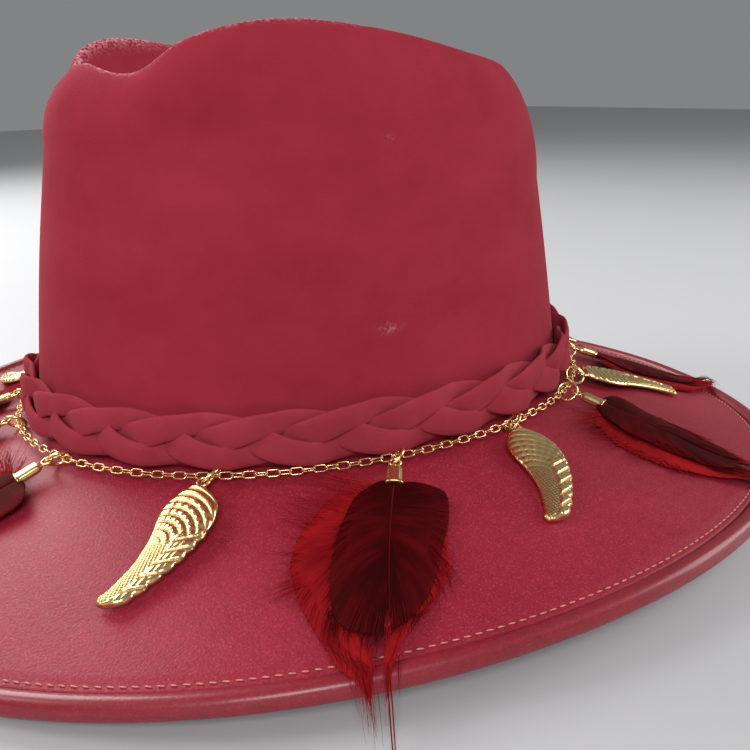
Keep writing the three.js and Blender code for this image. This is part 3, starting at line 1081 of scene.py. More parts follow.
@dataclass
class Brim:
    """Leather brim with a padded rolled edge and a row of pale stitches beside it."""

    thickness: float = 3.0
    around: int = 360
    top_rows: int = 64
    edge_round: float = 1.5
    stitch_offset: float = 82.0
    stitch_pitch: float = 3.1
    roll_width: float = 5.9
    roll_height: float = 6.3
    roll_sides: int = 28
    wave: float = 0.35

    def _sheet(self) -> tuple[np.ndarray, np.ndarray]:
        """Closed section of the leather, as offsets and drops under the upper face.

        Returns:
            Offsets, and drops below the upper face.
        """
        inner = FORM.foot - FORM.wall
        flat = np.linspace(inner, FORM.leather_edge - self.edge_round, self.top_rows)
        bead = np.linspace(0, math.pi / 2, 6)[1:]
        out = FORM.leather_edge - self.edge_round + self.edge_round * np.sin(bead)
        down = self.edge_round * (1 - np.cos(bead))
        under = np.linspace(FORM.leather_edge - 0.4, inner, self.top_rows // 2)
        offsets = np.concatenate([flat, out, under])
        drops = np.concatenate([np.zeros_like(flat), down, np.full_like(under, self.thickness)])
        pull = np.exp(-(((offsets - self.stitch_offset) / 1.1) ** 2)) * 0.45
        drops = drops + np.where(drops < self.thickness, pull, 0.0)
        return offsets, drops

    def _leather(self, finish: bpy.types.Material) -> bpy.types.Object:
        """The brim's leather sheet.

        Args:
            finish: its material.

        Returns:
            The finished piece.
        """
        theta = math.radians(-90) + 2 * math.pi * np.arange(self.around)[:, None] / self.around
        offsets, drops = self._sheet()
        reach = np.clip(offsets, 0, None) / FORM.brim_width
        ripple = np.sin(3 * theta + 0.7) + 0.6 * np.sin(5 * theta + 2.1) + 0.4 * np.sin(9 * theta)
        sway = self.wave * ripple * np.sin(math.pi * reach) ** 2
        z = FORM.brim_top(theta, offsets[None, :]) - drops[None, :] + sway
        points = FORM.points(theta, offsets[None, :], z)
        rows, columns, _ = points.shape
        faces = grid_faces(rows, columns, wrap_rows=True, wrap_columns=True)
        sheet = face_outwards(mesh_object("brim_leather", points.reshape(-1, 3), faces, finish))
        return settle(sheet, ["brim"])

    def _roll(self, finish: bpy.types.Material) -> bpy.types.Object:
        """The padded rolled edge.

        Args:
            finish: its material.

        Returns:
            The finished piece.
        """
        steps = self.around + 120
        theta = math.radians(-90) + 2 * math.pi * np.arange(steps)[:, None] / steps
        turn = 2 * math.pi * np.arange(self.roll_sides)[None, :] / self.roll_sides
        cosine, sine = np.cos(turn), np.sin(turn)
        out = np.sign(cosine) * np.abs(cosine) ** 0.86
        up = np.sign(sine) * np.abs(sine) ** 0.9
        middle = FORM.leather_edge + 0.1 + self.roll_width / 2
        offsets = middle + out * self.roll_width / 2
        pucker = 0.10 * np.sin(theta * 170) * np.clip(-out, 0, 1) + 0.12 * np.sin(theta * 11)
        z = FORM.roll_base(theta) + (up + 1) * self.roll_height / 2
        points = FORM.points(theta, offsets + pucker * 0.6, z + pucker * np.clip(up, 0, 1))
        faces = grid_faces(steps, self.roll_sides, wrap_rows=True, wrap_columns=True)
        roll = face_outwards(mesh_object("edge_roll", points.reshape(-1, 3), faces, finish))
        return settle(roll, ["brim_edge_roll"])

    def _stitches(self, finish: bpy.types.Material) -> bpy.types.Object:
        """The row of stitches beside the rolled edge.

        Args:
            finish: the thread.

        Returns:
            The finished piece.
        """
        fine = np.linspace(-math.pi, math.pi, 4001)
        x, y, _ = FORM.oval(fine, self.stitch_offset)
        travelled = np.concatenate([[0], np.cumsum(np.hypot(np.diff(x), np.diff(y)))])
        count = round(travelled[-1] / self.stitch_pitch)
        theta = np.interp(np.arange(count) * travelled[-1] / count, travelled, fine)
        z = FORM.brim_top(theta, self.stitch_offset) - 0.18
        points = FORM.points(theta, np.full(count, self.stitch_offset), z)
        ahead = FORM.points(theta + 1e-3, np.full(count, self.stitch_offset), z)
        along = ahead - points
        out = FORM.oval(theta, 0.0)[2] + math.radians(7)
        along = along / np.linalg.norm(along, axis=1, keepdims=True)
        along = along + 0.12 * np.stack([np.cos(out), np.sin(out), 0 * out], axis=1)
        up = np.tile([0.0, 0.0, 1.0], (count, 1))
        lines = [p[None, :] for p in points]
        values = {"along": [a[None, :] for a in along], "up": [u[None, :] for u in up]}
        base = line_object("stitch_places", lines, values)
        row = stitch_grower().grow("edge_stitches", base, finish, {"Stitch length": 2.1, "Thread": 0.48})
        return settle(row, [])

    def build(
        self, leather: bpy.types.Material, edge: bpy.types.Material, thread: bpy.types.Material
    ) -> None:
        """Makes the brim, its rolled edge and its stitches.

        Args:
            leather: finish of the brim.
            edge: finish of the rolled edge.
            thread: finish of the stitches.
        """
        self._leather(leather)
        self._roll(edge)
        self._stitches(thread)


# ---- braided band -----------------------------------------------------------------------------


@dataclass
class Braid:
    """Flat plait of three suede strands round the foot of the crown."""

    strands: int = 3
    turns: int = 8
    from_wall: float = 3.5
    height: float = 9.3
    sway: float = 4.9
    dwell: float = 0.6
    weave: float = 1.75
    snap: float = 1.7
    half_height: float = 4.3
    half_depth: float = 1.15
    around: int = 720
    sides: int = 20

    def _strand(self, number: int, finish: bpy.types.Material) -> bpy.types.Object:
        """One strand of the plait.

        Args:
            number: which strand, from 0.
            finish: its material.

        Returns:
            The finished piece.
        """
        theta = math.radians(-90) + 2 * math.pi * np.arange(self.around)[:, None] / self.around
        t = self.turns * theta + 2 * math.pi * number / self.strands
        wander = 0.25 * np.sin(3 * theta + number) + 0.2 * np.sin(7 * theta + 2 * number)
        height = self.height + self.sway * np.tanh(self.dwell * np.sin(t)) / math.tanh(self.dwell) + wander
        over = np.tanh(self.snap * np.sin(2 * t)) / math.tanh(self.snap)
        offset = FORM.wall_offset(height) + self.from_wall + self.weave * over
        slope = np.gradient(height[:, 0], theta[1, 0] - theta[0, 0])[:, None] / 98.0
        turn = 2 * math.pi * np.arange(self.sides)[None, :] / self.sides
        up = np.sign(np.cos(turn)) * np.abs(np.cos(turn)) ** 0.8
        out = np.sign(np.sin(turn)) * np.abs(np.sin(turn)) ** 0.62
        squeeze = 1 - 0.10 * np.sin(t) ** 2
        rise = up * self.half_height * squeeze
        depth = out * self.half_depth * (1 - 0.35 * up**4)
        shift = -rise * slope / 92.0
        crease = 0.12 * np.sin(5 * t + 9 * up) * (1 - np.abs(up)) ** 0.5
        points = FORM.points(theta + shift, offset + depth + crease * (out > 0), FORM.top + height + rise)
        faces = grid_faces(self.around, self.sides, wrap_rows=True, wrap_columns=True)
        name = f"plait_strand_{number + 1}"
        strand = face_outwards(mesh_object(name, points.reshape(-1, 3), faces, finish))
        return settle(strand, [f"braid_strand_{number + 1}"])

    def build(self, finish: bpy.types.Material) -> None:
        """Makes the strands.

        Args:
            finish: their material.
        """
        for number in range(self.strands):
            self._strand(number, finish)


# ---- chain and jump rings ---------------------------------------------------------------------


@dataclass
class Chain:
    """Fine cable chain that lies on the brim under the plait."""

    offset: float = 12.6
    lift: float = 3.5
    pitch: float = 3.55
    lean: float = math.radians(48)

    def centre(self, theta: np.ndarray) -> np.ndarray:
        """Point of the chain's middle line at an angle."""
        return FORM.points(theta, self.offset, FORM.brim_top(theta, self.offset) + self.lift)

    def build(self, gold: bpy.types.Material) -> None:
        """Makes the links.

        Args:
            gold: their material.
        """
        fine = np.linspace(-math.pi, math.pi, 4001)
        route = self.centre(fine)
        travelled = np.concatenate([[0], np.cumsum(np.linalg.norm(np.diff(route, axis=0), axis=1))])
        count = 2 * round(travelled[-1] / self.pitch / 2)
        theta = np.interp(np.arange(count) * travelled[-1] / count, travelled, fine)
        points = self.centre(theta)
        along = self.centre(theta + 1e-3) - self.centre(theta - 1e-3)
        along = along / np.linalg.norm(along, axis=1, keepdims=True)
        out = FORM.oval(theta, 0.0)[2]
        outward = np.stack([np.cos(out), np.sin(out), 0 * out], axis=1)
        turn = self.lean + (np.arange(count) % 2) * math.pi / 2 + 0.10 * np.sin(1.7 * np.arange(count))
        up = outward * np.cos(turn)[:, None] + np.array([0.0, 0.0, 1.0]) * np.sin(turn)[:, None]
        lines = [p[None, :] for p in points]
        values = {"along": [a[None, :] for a in along], "up": [u[None, :] for u in up]}
        base = line_object("link_places", lines, values)
        sizes = {"Link length": 4.6, "Link width": 2.7, "Wire": 0.56}
        links = link_grower().grow("chain_links", base, gold, sizes)
        # A slight, even painted shade on every link.
        colour = links.data.attributes.new("groove_shade", "FLOAT", "POINT")
        colour.data.foreach_set("value", np.full(len(links.data.vertices), 0.08, dtype=np.float32))
        settle(links, ["chain"])


def loop_points(
    centre: np.ndarray, along: np.ndarray, up: np.ndarray, radius: float, wire: float, steps: int, sides: int
) -> np.ndarray:
    """Points of a round ring.

    Args:
        centre: its middle.
        along: a direction in its plane.
        up: the other direction in its plane.
        radius: radius of the wire's middle line.
        wire: radius of the wire.
        steps: points round the ring.
        sides: points round the wire.

    Returns:
        Points, step by step.
    """
    axis = np.cross(along, up)
    a = 2 * math.pi * np.arange(steps)[:, None, None] / steps
    b = 2 * math.pi * np.arange(sides)[None, :, None] / sides
    spoke = along * np.cos(a) + up * np.sin(a)
    return (centre + spoke * (radius + wire * np.cos(b)) + axis * wire * np.sin(b)).reshape(-1, 3)


# ---- charms -----------------------------------------------------------------------------------


class Charm(Enum):
    """What hangs from a jump ring."""

    WING = "wing"
    FEATHER = "feather"


@dataclass(frozen=True)
class Hanging:
    """A charm's kind, the angle of its ring and its swing from straight out, in degrees."""

    kind: Charm
    angle: float
    swing: float
    length: float = 60.0


HANGINGS = (
    Hanging(Charm.FEATHER, -118, -14),
    Hanging(Charm.WING, -101, -28),
    Hanging(Charm.FEATHER, -76, -21),
    Hanging(Charm.WING, -45, -24),
    Hanging(Charm.FEATHER, -15, -27, 68),
    Hanging(Charm.WING, 10, -40),
    Hanging(Charm.FEATHER, 31, -4),
    Hanging(Charm.WING, 42, 38),
    Hanging(Charm.FEATHER, 63, 16),
    Hanging(Charm.WING, 89, 8),
    Hanging(Charm.FEATHER, 112, -2),
    Hanging(Charm.WING, 136, -8),
    Hanging(Charm.FEATHER, 159, -10),
    Hanging(Charm.WING, -178, -18),
    Hanging(Charm.FEATHER, -157, -24),
    Hanging(Charm.WING, -134, -34),
)


@dataclass
class JumpRing:
    """Round wire ring that joins a charm to the chain."""

    radius: float = 3.6
    wire: float = 0.55
    lean: float = math.radians(42)
    shift: float = 1.7

    def places(self, chain: Chain, hanging: Hanging) -> tuple[np.ndarray, np.ndarray, float]:
        """Where the ring and the charm's eye are.

        Args:
            chain: the chain.
            hanging: the charm.

        Returns:
            Middle of the ring, middle of the eye, and the charm's heading.
        """
        theta, swing = math.radians(hanging.angle), math.radians(hanging.swing)
        heading = float(FORM.oval(theta, chain.offset)[2]) + swing
        along = np.array([math.cos(heading), math.sin(heading), 0.0])
        middle = chain.centre(theta) + along * self.shift * math.cos(swing) ** 3
        return middle, middle + along * self.radius, heading

    def build(
        self, name: str, middle: np.ndarray, heading: float, node: str, gold: bpy.types.Material
    ) -> None:
        """Makes a ring.

        Args:
            name: its name.
            middle: its middle.
            heading: the way its charm lies.
            node: the frame's piece that it replaces.
            gold: its material.
        """
        along = np.array([math.cos(heading), math.sin(heading), 0.0])
        across = np.array([-math.sin(heading), math.cos(heading), 0.0])
        up = across * math.sin(self.lean) + np.array([0, 0, math.cos(self.lean)])
        points = loop_points(middle, along, up, self.radius, self.wire, 44, 12)
        ring = face_outwards(mesh_object(name, points, grid_faces(44, 12, True, True), gold))
        settle(ring, [node])


def lay_frame(origin: np.ndarray, heading: float, length: float, lift: float) -> np.ndarray:
    """Frame that lies along the brim: X outwards, Y to the left, Z off the brim.

    Args:
        origin: its origin.
        heading: the way X points, seen from above.
        length: how far out its far end rests.
        lift: height of that end over the brim.

    Returns:
        The frame's axes and origin, as rows.
    """

    def plan(s: float, w: float) -> np.ndarray:
        """Point of the brim, s outwards and w to the left."""
        x = origin[0] + s * math.cos(heading) - w * math.sin(heading)
        y = origin[1] + s * math.sin(heading) + w * math.cos(heading)
        return np.array([x, y, float(FORM.ground(x, y))])

    end = plan(length, 0.0) + np.array([0, 0, lift])
    along = (end - origin) / np.linalg.norm(end - origin)
    side = plan(length / 2, 8.0) - plan(length / 2, -8.0)
    side = side - along * side.dot(along)
    side = side / np.linalg.norm(side)
    return np.stack([along, side, np.cross(along, side), origin])


def through(frame_rows: np.ndarray, points: np.ndarray) -> np.ndarray:
    """Points of a frame in the hat's own place."""
    return points @ frame_rows[:3] + frame_rows[3]


def ring_faces(rings: int, sides: int) -> list[tuple[int, ...]]:
    """Faces of a closed body through rings of points, with a fan at each end.

    Args:
        rings: number of rings.
        sides: points in each.

    Returns:
        The faces; the two end points come after the rings.
    """
    faces = [tuple(face) for face in grid_faces(rings, sides, wrap_columns=True)]
    for end, tip in ((0, rings * sides), ((rings - 1) * sides, rings * sides + 1)):
        faces += [(end + j, end + (j + 1) % sides, tip) for j in range(sides)]
    return faces


def joined_object(
    name: str,
    parts: Sequence[tuple[np.ndarray, Sequence[tuple[int, ...]], np.ndarray]],
    material: bpy.types.Material,
    key: str,
    more: dict[str, np.ndarray] | None = None,
) -> bpy.types.Object:
    """One object from several closed bodies.

    Args:
        name: its name.
        parts: points, faces and a number for each point, of each body.
        material: its finish.
        key: the attribute that holds the numbers.
        more: further attributes, with a number for every point in turn.

    Returns:
        The object, facing outwards.
    """
    faces, start = [], 0
    for points, body, _ in parts:
        faces += [tuple(int(i) + start for i in face) for face in body]
        start += len(points)
    mesh = bpy.data.meshes.new(name)
    mesh.from_pydata((np.concatenate([p for p, _, _ in parts]) * MM).tolist(), [], faces)
    for title, numbers in {key: np.concatenate([v for _, _, v in parts]), **(more or {})}.items():
        layer = mesh.attributes.new(title, "FLOAT", "POINT")
        layer.data.foreach_set("value", numbers.astype(np.float32))
    mesh.materials.append(material)
    mesh.shade_smooth()
    piece = bpy.data.objects.new(name, mesh)
    bpy.context.scene.collection.objects.link(piece)
    return face_outwards(piece)


@dataclass
class Wing:
    """Cast gold wing: curved ribs on the shoulder, fine hatching, and scalloped long feathers."""

    stations: tuple[float, ...] = (1.7, 3, 6, 12, 18, 22, 26, 31, 35, 40, 44, 47, 48.4)
    leading: tuple[float, ...] = (-0.8, -1.9, -3.7, -5, -4, -2.4, -1.2, -0.3, 0, -0.4, -0.9, -1.8, -1.0)
    trailing: tuple[float, ...] = (0.8, 4.2, 9.2, 12.2, 12.9, 12.6, 12.2, 11.2, 10.1, 8.5, 6.9, 5.0, 2.0)
    length: float = 48.0
    tip_lift: float = 1.5
    rib_pitch: float = 2.75
    rib_centre: tuple[float, float] = (29.0, 0.5)
    facet_pitch: float = 4.3
    rows: int = 176
    columns: int = 42
    eye_radius: float = 1.75
    eye_wire: float = 0.5

    def _relief(self, s: np.ndarray, w: np.ndarray, v: np.ndarray) -> tuple[np.ndarray, np.ndarray]:
        """Height of the cast relief.

        Args:
            s: distance along the wing.
            w: distance across it.
            v: share of its width, from the leading to the trailing edge.

        Returns:
            Height over the plate, and the painted shade of each point, darkest in the furrows between ribs,
            hatching and facets.
        """
        reach = np.hypot(s - self.rib_centre[0], (w - self.rib_centre[1]) * 1.3)
        f = (reach / self.rib_pitch) % 1.0
        crest = np.sqrt(np.clip(1 - (2 * f - 1) ** 2, 0, 1))
        angle = np.arctan2(w - self.rib_centre[1], self.rib_centre[0] - s)
        barbed = 0.13 * np.cos(angle * 40) * smoothstep(s, 6.0, 12.0)
        ribs = 0.85 * crest + barbed * crest
        hatch = np.cos(2 * math.pi * (s * 0.95 + w * 0.45)) * 0.5 + 0.5
        scale = np.cos(2 * math.pi * (w * 0.95 - s * 0.30)) * 0.5 + 0.5
        fine = 0.30 + 0.17 * hatch + 0.17 * scale
        g = ((s + 0.9 * w) / self.facet_pitch) % 1.0
        step = np.clip(np.minimum(g, 1 - g) * 7, 0, 1)
        facets = (0.70 + 0.50 * g) * step ** 0.5 + 0.06 * np.cos(w * 4.4) * step
        band = smoothstep(v, 0.54, 0.62) * smoothstep(s, 17.0, 22.0)
        lower = smoothstep(s, 21.0, 27.0)
        height = ribs * (1 - lower) + fine * lower
        height = height * (1 - band) + facets * band
        # Painted shade: dark in the furrows between ribs, between the hatching and in the steps between
        # facets.
        groove_shade = (1 - crest) ** 1.1 * (1 - lower) + (1 - hatch * scale) ** 2 * 0.75 * lower
        groove_shade = groove_shade * (1 - band) + (1 - step) * 1.0 * band
        rim = np.exp(-((v / 0.055) ** 2)) * smoothstep(s, 3.0, 8.0)
        return height * (1 - rim) + 0.75 * rim, groove_shade * (1 - rim)

    def _body(self) -> tuple[np.ndarray, list[tuple[int, ...]], np.ndarray]:
        """The wing lying in its own frame.

        Returns:
            Points, faces and the painted shade of each point.
        """
        s = np.linspace(self.stations[0], self.stations[-1], self.rows)[:, None]
        low = smooth_row(s, self.stations, self.leading)
        high = smooth_row(s, self.stations, self.trailing)
        scallop = np.abs(np.sin(math.pi * (s + 9.0) / self.facet_pitch)) ** 0.7 - 0.6
        high = high + 0.75 * scallop * smoothstep(s, 14.0, 20.0) * (1 - smoothstep(s, 45.0, 48.0))
        v = (0.5 - 0.5 * np.cos(np.linspace(0, math.pi, self.columns)))[None, :]
        v = 0.35 * v + 0.65 * np.linspace(0, 1, self.columns)[None, :]
        w = low + (high - low) * v
        relief, groove_shade = self._relief(s + 0 * v, w, v)
        edge = (1 - np.abs(2 * v - 1) ** 10) ** 0.5
        dome = 0.85 * (1 - (2 * v - 1) ** 2)
        ends = np.sqrt(np.clip(np.minimum(s - self.stations[0], self.stations[-1] - s) / 1.6, 0, 1))
        front = -0.2 + (relief + dome + 0.35) * edge * (0.35 + 0.65 * ends)
        back_v = np.linspace(1, 0, 8)[None, 1:-1]
        back_w = low + (high - low) * back_v
        back = -0.85 + 0 * back_w
        across = np.concatenate([w, back_w], axis=1)
        up = np.concatenate([front, back], axis=1)
        along = s + 0 * across
        rings = np.stack([along, across, up], axis=-1)
        tips = np.stack([rings[0].mean(axis=0), rings[-1].mean(axis=0)])
        points = np.concatenate([rings.reshape(-1, 3), tips])
        # Painted shade: a little on the wing's back and on its two end points.
        groove_shades = np.concatenate([groove_shade, np.full((self.rows, back_w.shape[1]), 0.2)], axis=1)
        values = np.concatenate([groove_shades.ravel(), [0.3, 0.3]])
        return points, ring_faces(self.rows, rings.shape[1]), values

    def build(self, number: int, frame_rows: np.ndarray, gold: bpy.types.Material) -> None:
        """Makes a wing with its eye.

        Args:
            number: which wing, from 1.
            frame_rows: the frame it lies in.
            gold: its finish.
        """
        points, faces, groove_shades = self._body()
        x, y = np.array([1.0, 0, 0]), np.array([0, 1.0, 0])
        eye = loop_points(np.zeros(3), x, y, self.eye_radius, self.eye_wire, 28, 10)
        eye_faces = [tuple(face) for face in grid_faces(28, 10, True, True)]
        parts = [
            (through(frame_rows, points), faces, groove_shades),
            (through(frame_rows, eye), eye_faces, np.full(len(eye), 0.05)),
        ]
        # Each part brings its painted shade; the eye has very little.
        wing = joined_object(f"gold_wing_{number}", parts, gold, "groove_shade")
        settle(wing, [f"wing_{number}"])


@dataclass
class Crimp:
    """Folded cord end that holds a tassel's quills: ribbed barrel, flared lip and an eye."""

    stations: tuple[float, ...] = (1.6, 2.1, 2.9, 3.6, 9.2, 9.9, 10.4, 10.7)
    half_widths: tuple[float, ...] = (0.6, 1.3, 2.0, 2.25, 2.3, 2.45, 2.8, 2.6)
    half_depths: tuple[float, ...] = (0.4, 0.7, 1.2, 1.5, 1.55, 1.65, 1.9, 1.7)
    rows: int = 60
    sides: int = 44
    eye_radius: float = 1.7
    eye_wire: float = 0.45
    eye_steps: int = 26
    eye_sides: int = 10
    reach: float = 22.8
    end_lift: float = 3.2

    def build(self, number: int, frame_rows: np.ndarray, gold: bpy.types.Material) -> None:
        """Makes a crimp with its eye.

        Args:
            number: which one, from 1.
            frame_rows: the frame it lies in.
            gold: its finish.
        """
        s = np.linspace(self.stations[0], self.stations[-1], self.rows)[:, None]
        a = 2 * math.pi * np.arange(self.sides)[None, :] / self.sides
        out = np.sign(np.cos(a)) * np.abs(np.cos(a)) ** 0.75
        up = np.sign(np.sin(a)) * np.abs(np.sin(a)) ** 0.75
        barrel = smoothstep(s, 3.0, 3.8) * (1 - smoothstep(s, 9.0, 9.6))
        rib = 1 + 0.035 * np.cos(11 * a) * barrel
        seam = 0.16 * np.exp(-(((a - math.pi / 2) / 0.12) ** 2)) * barrel
        y = out * smooth_row(s, self.stations, self.half_widths) * rib
        z = up * (smooth_row(s, self.stations, self.half_depths) * rib - seam)
        rings = np.stack([s + 0 * a, y, z], axis=-1)
        tips = np.array([[self.stations[0] - 0.1, 0, 0], [self.stations[-1] - 1.2, 0, 0]])
        points = np.concatenate([rings.reshape(-1, 3), tips])
        # Painted shade between the barrel's ribs, a little at its narrow end and most inside the flared lip's
        # opening.
        groove_shade = 0.10 + 0.25 * (1 - np.cos(11 * a)) / 2 * barrel
        x, across = np.array([1.0, 0, 0]), np.array([0, 1.0, 0])
        steps, sides = self.eye_steps, self.eye_sides
        eye = loop_points(np.zeros(3), x, across, self.eye_radius, self.eye_wire, steps, sides)
        groove_shades = np.append(groove_shade.ravel(), [0.1, 0.9])
        eye_faces = grid_faces(steps, sides, True, True).tolist()
        parts = [
            (through(frame_rows, points), ring_faces(self.rows, self.sides), groove_shades),
            (through(frame_rows, eye), eye_faces, np.full(len(eye), 0.05)),
        ]
        piece = joined_object(f"cord_end_{number}", parts, gold, "groove_shade")
        settle(piece, [f"crimp_{number}"])


@dataclass(frozen=True)
class Plume:
    """One feather of a tassel, in plan: its quill, and the outline of its two vanes from base to tip."""

    quill: tuple[tuple[float, float], ...]
    left: tuple[tuple[float, float], ...]
    right: tuple[tuple[float, float], ...]
    height: float
    bulge: float
    tone: float
    quill_tone: float
    sweep: float = 0.24

    def spine(self, u: np.ndarray) -> np.ndarray:
        """Point of the quill by share of its length."""
        a, b, c = (np.array(p) for p in self.quill)
        t = u[..., None]
        bend = 2 * b - (a + c) / 2
        return a * (1 - t) ** 2 + 2 * bend * t * (1 - t) + c * t**2

    def barb(self, u: np.ndarray, t: np.ndarray, side: int) -> np.ndarray:
        """Points of the barbs of one vane.

        Args:
            u: share of the quill at which each barb starts.
            t: share of a barb's length, past 1 beyond the outline.
            side: 1 for the left vane, -1 for the right.

        Returns:
            Points in plan, by barb and place along it.
        """
        outline = np.array(self.left if side > 0 else self.right)
        places = np.linspace(0, 1, len(outline))
        edge = np.stack([smooth_row(u, places, outline[:, k]) for k in (0, 1)], axis=-1)
        root = self.spine(u * (1 - self.sweep * u * (2 - u)))
        knee = root + (edge - root) * np.array([0.30, 0.66])
        knee[..., 0] -= 2.0 * (1 - u) ** 6
        root, knee, edge, t = root[:, None], knee[:, None], edge[:, None], t[None, :, None]
        return root * (1 - t) ** 2 + 2 * knee * t * (1 - t) + edge * t**2

    def lift(self, u: np.ndarray, t: np.ndarray) -> np.ndarray:
        """Height of the barbs over what the feather lies on."""
        arch = np.sin(math.pi * np.clip(u, 0, 1)) ** 0.7
        return self.height + self.bulge * arch * (1 - 0.72 * t * t)


BACK_PLUME = Plume(
    quill=((9.6, -0.5), (38, -12), (71, -3.5)),
    left=((12, 4), (22, 3), (32, 0), (42, -3), (50, -4), (58, -4.2), (67, -2.3), (74, -2.5)),
    right=((9.5, -7), (13.8, -16), (24, -21.5), (36, -23.5), (46, -21), (57, -15.5), (68, -9), (74, -2.5)),
    height=0.3, bulge=1.0, tone=0.50, quill_tone=0.62,
)
SIDE_PLUME = Plume(
    quill=((9.6, 0.5), (38, 6), (70, 1)),
    left=((12, 7), (20, 12), (28, 13.5), (37, 13.8), (45, 11), (52, 7), (61, 3.4), (73, 0.6)),
    right=((12, -4), (22, -3), (32, -1), (42, 0), (50, 0.5), (58, 0), (66, 0), (73, 0.6)),
    height=0.8, bulge=0.9, tone=0.52, quill_tone=0.62,
)
FRONT_PLUME = Plume(
    quill=((9.6, 0), (30, -0.3), (54, 0.5)),
    left=((8.6, 6), (10.8, 13), (19, 14), (28.5, 12.6), (38, 11.2), (46.5, 9), (53.5, 5.5), (57.5, 1)),
    right=((9.2, -4), (13.5, -9), (21, -12), (30, -13.4), (40, -13.6), (49.5, -12.8), (57, -9.5), (59, -1)),
    height=1.5, bulge=2.4, tone=0.16, quill_tone=0.36,
)


@dataclass(frozen=True)
class Down:
    """A patch of loose hairs: where their roots and tips lie in plan, and how fine they are."""

    count: int
    roots: tuple[tuple[float, float], ...]
    tips: tuple[tuple[float, float], ...]
    spread: float
    radius: float
    tone: float


DOWNS = (
    Down(110, ((10.5, -6), (24, -19), (44, -20)), ((8, -24), (19, -31), (50, -26)), 1.6, 0.13, 0.60),
    Down(36, ((9.5, -3), (12, -8), (16, -12)), ((3, -14), (5, -24), (9, -29)), 2.2, 0.10, 0.72),
    Down(90, ((50, -13), (56, -3), (49, 8)), ((62, -12), (66, -3), (58, 5)), 1.0, 0.12, 0.24),
    Down(36, ((60, -12), (66, -5), (64, 2)), ((75, -5), (77, -1.5), (75, 2)), 1.0, 0.15, 0.50),
    Down(2, ((68, -2), (69, 0), (70, 1)), ((86, 3), (88, 4), (90, 5)), 0.6, 0.26, 0.52),
    Down(40, ((30, 12), (38, 12), (48, 8)), ((40, 16), (49, 13), (58, 6)), 1.0, 0.10, 0.55),
)


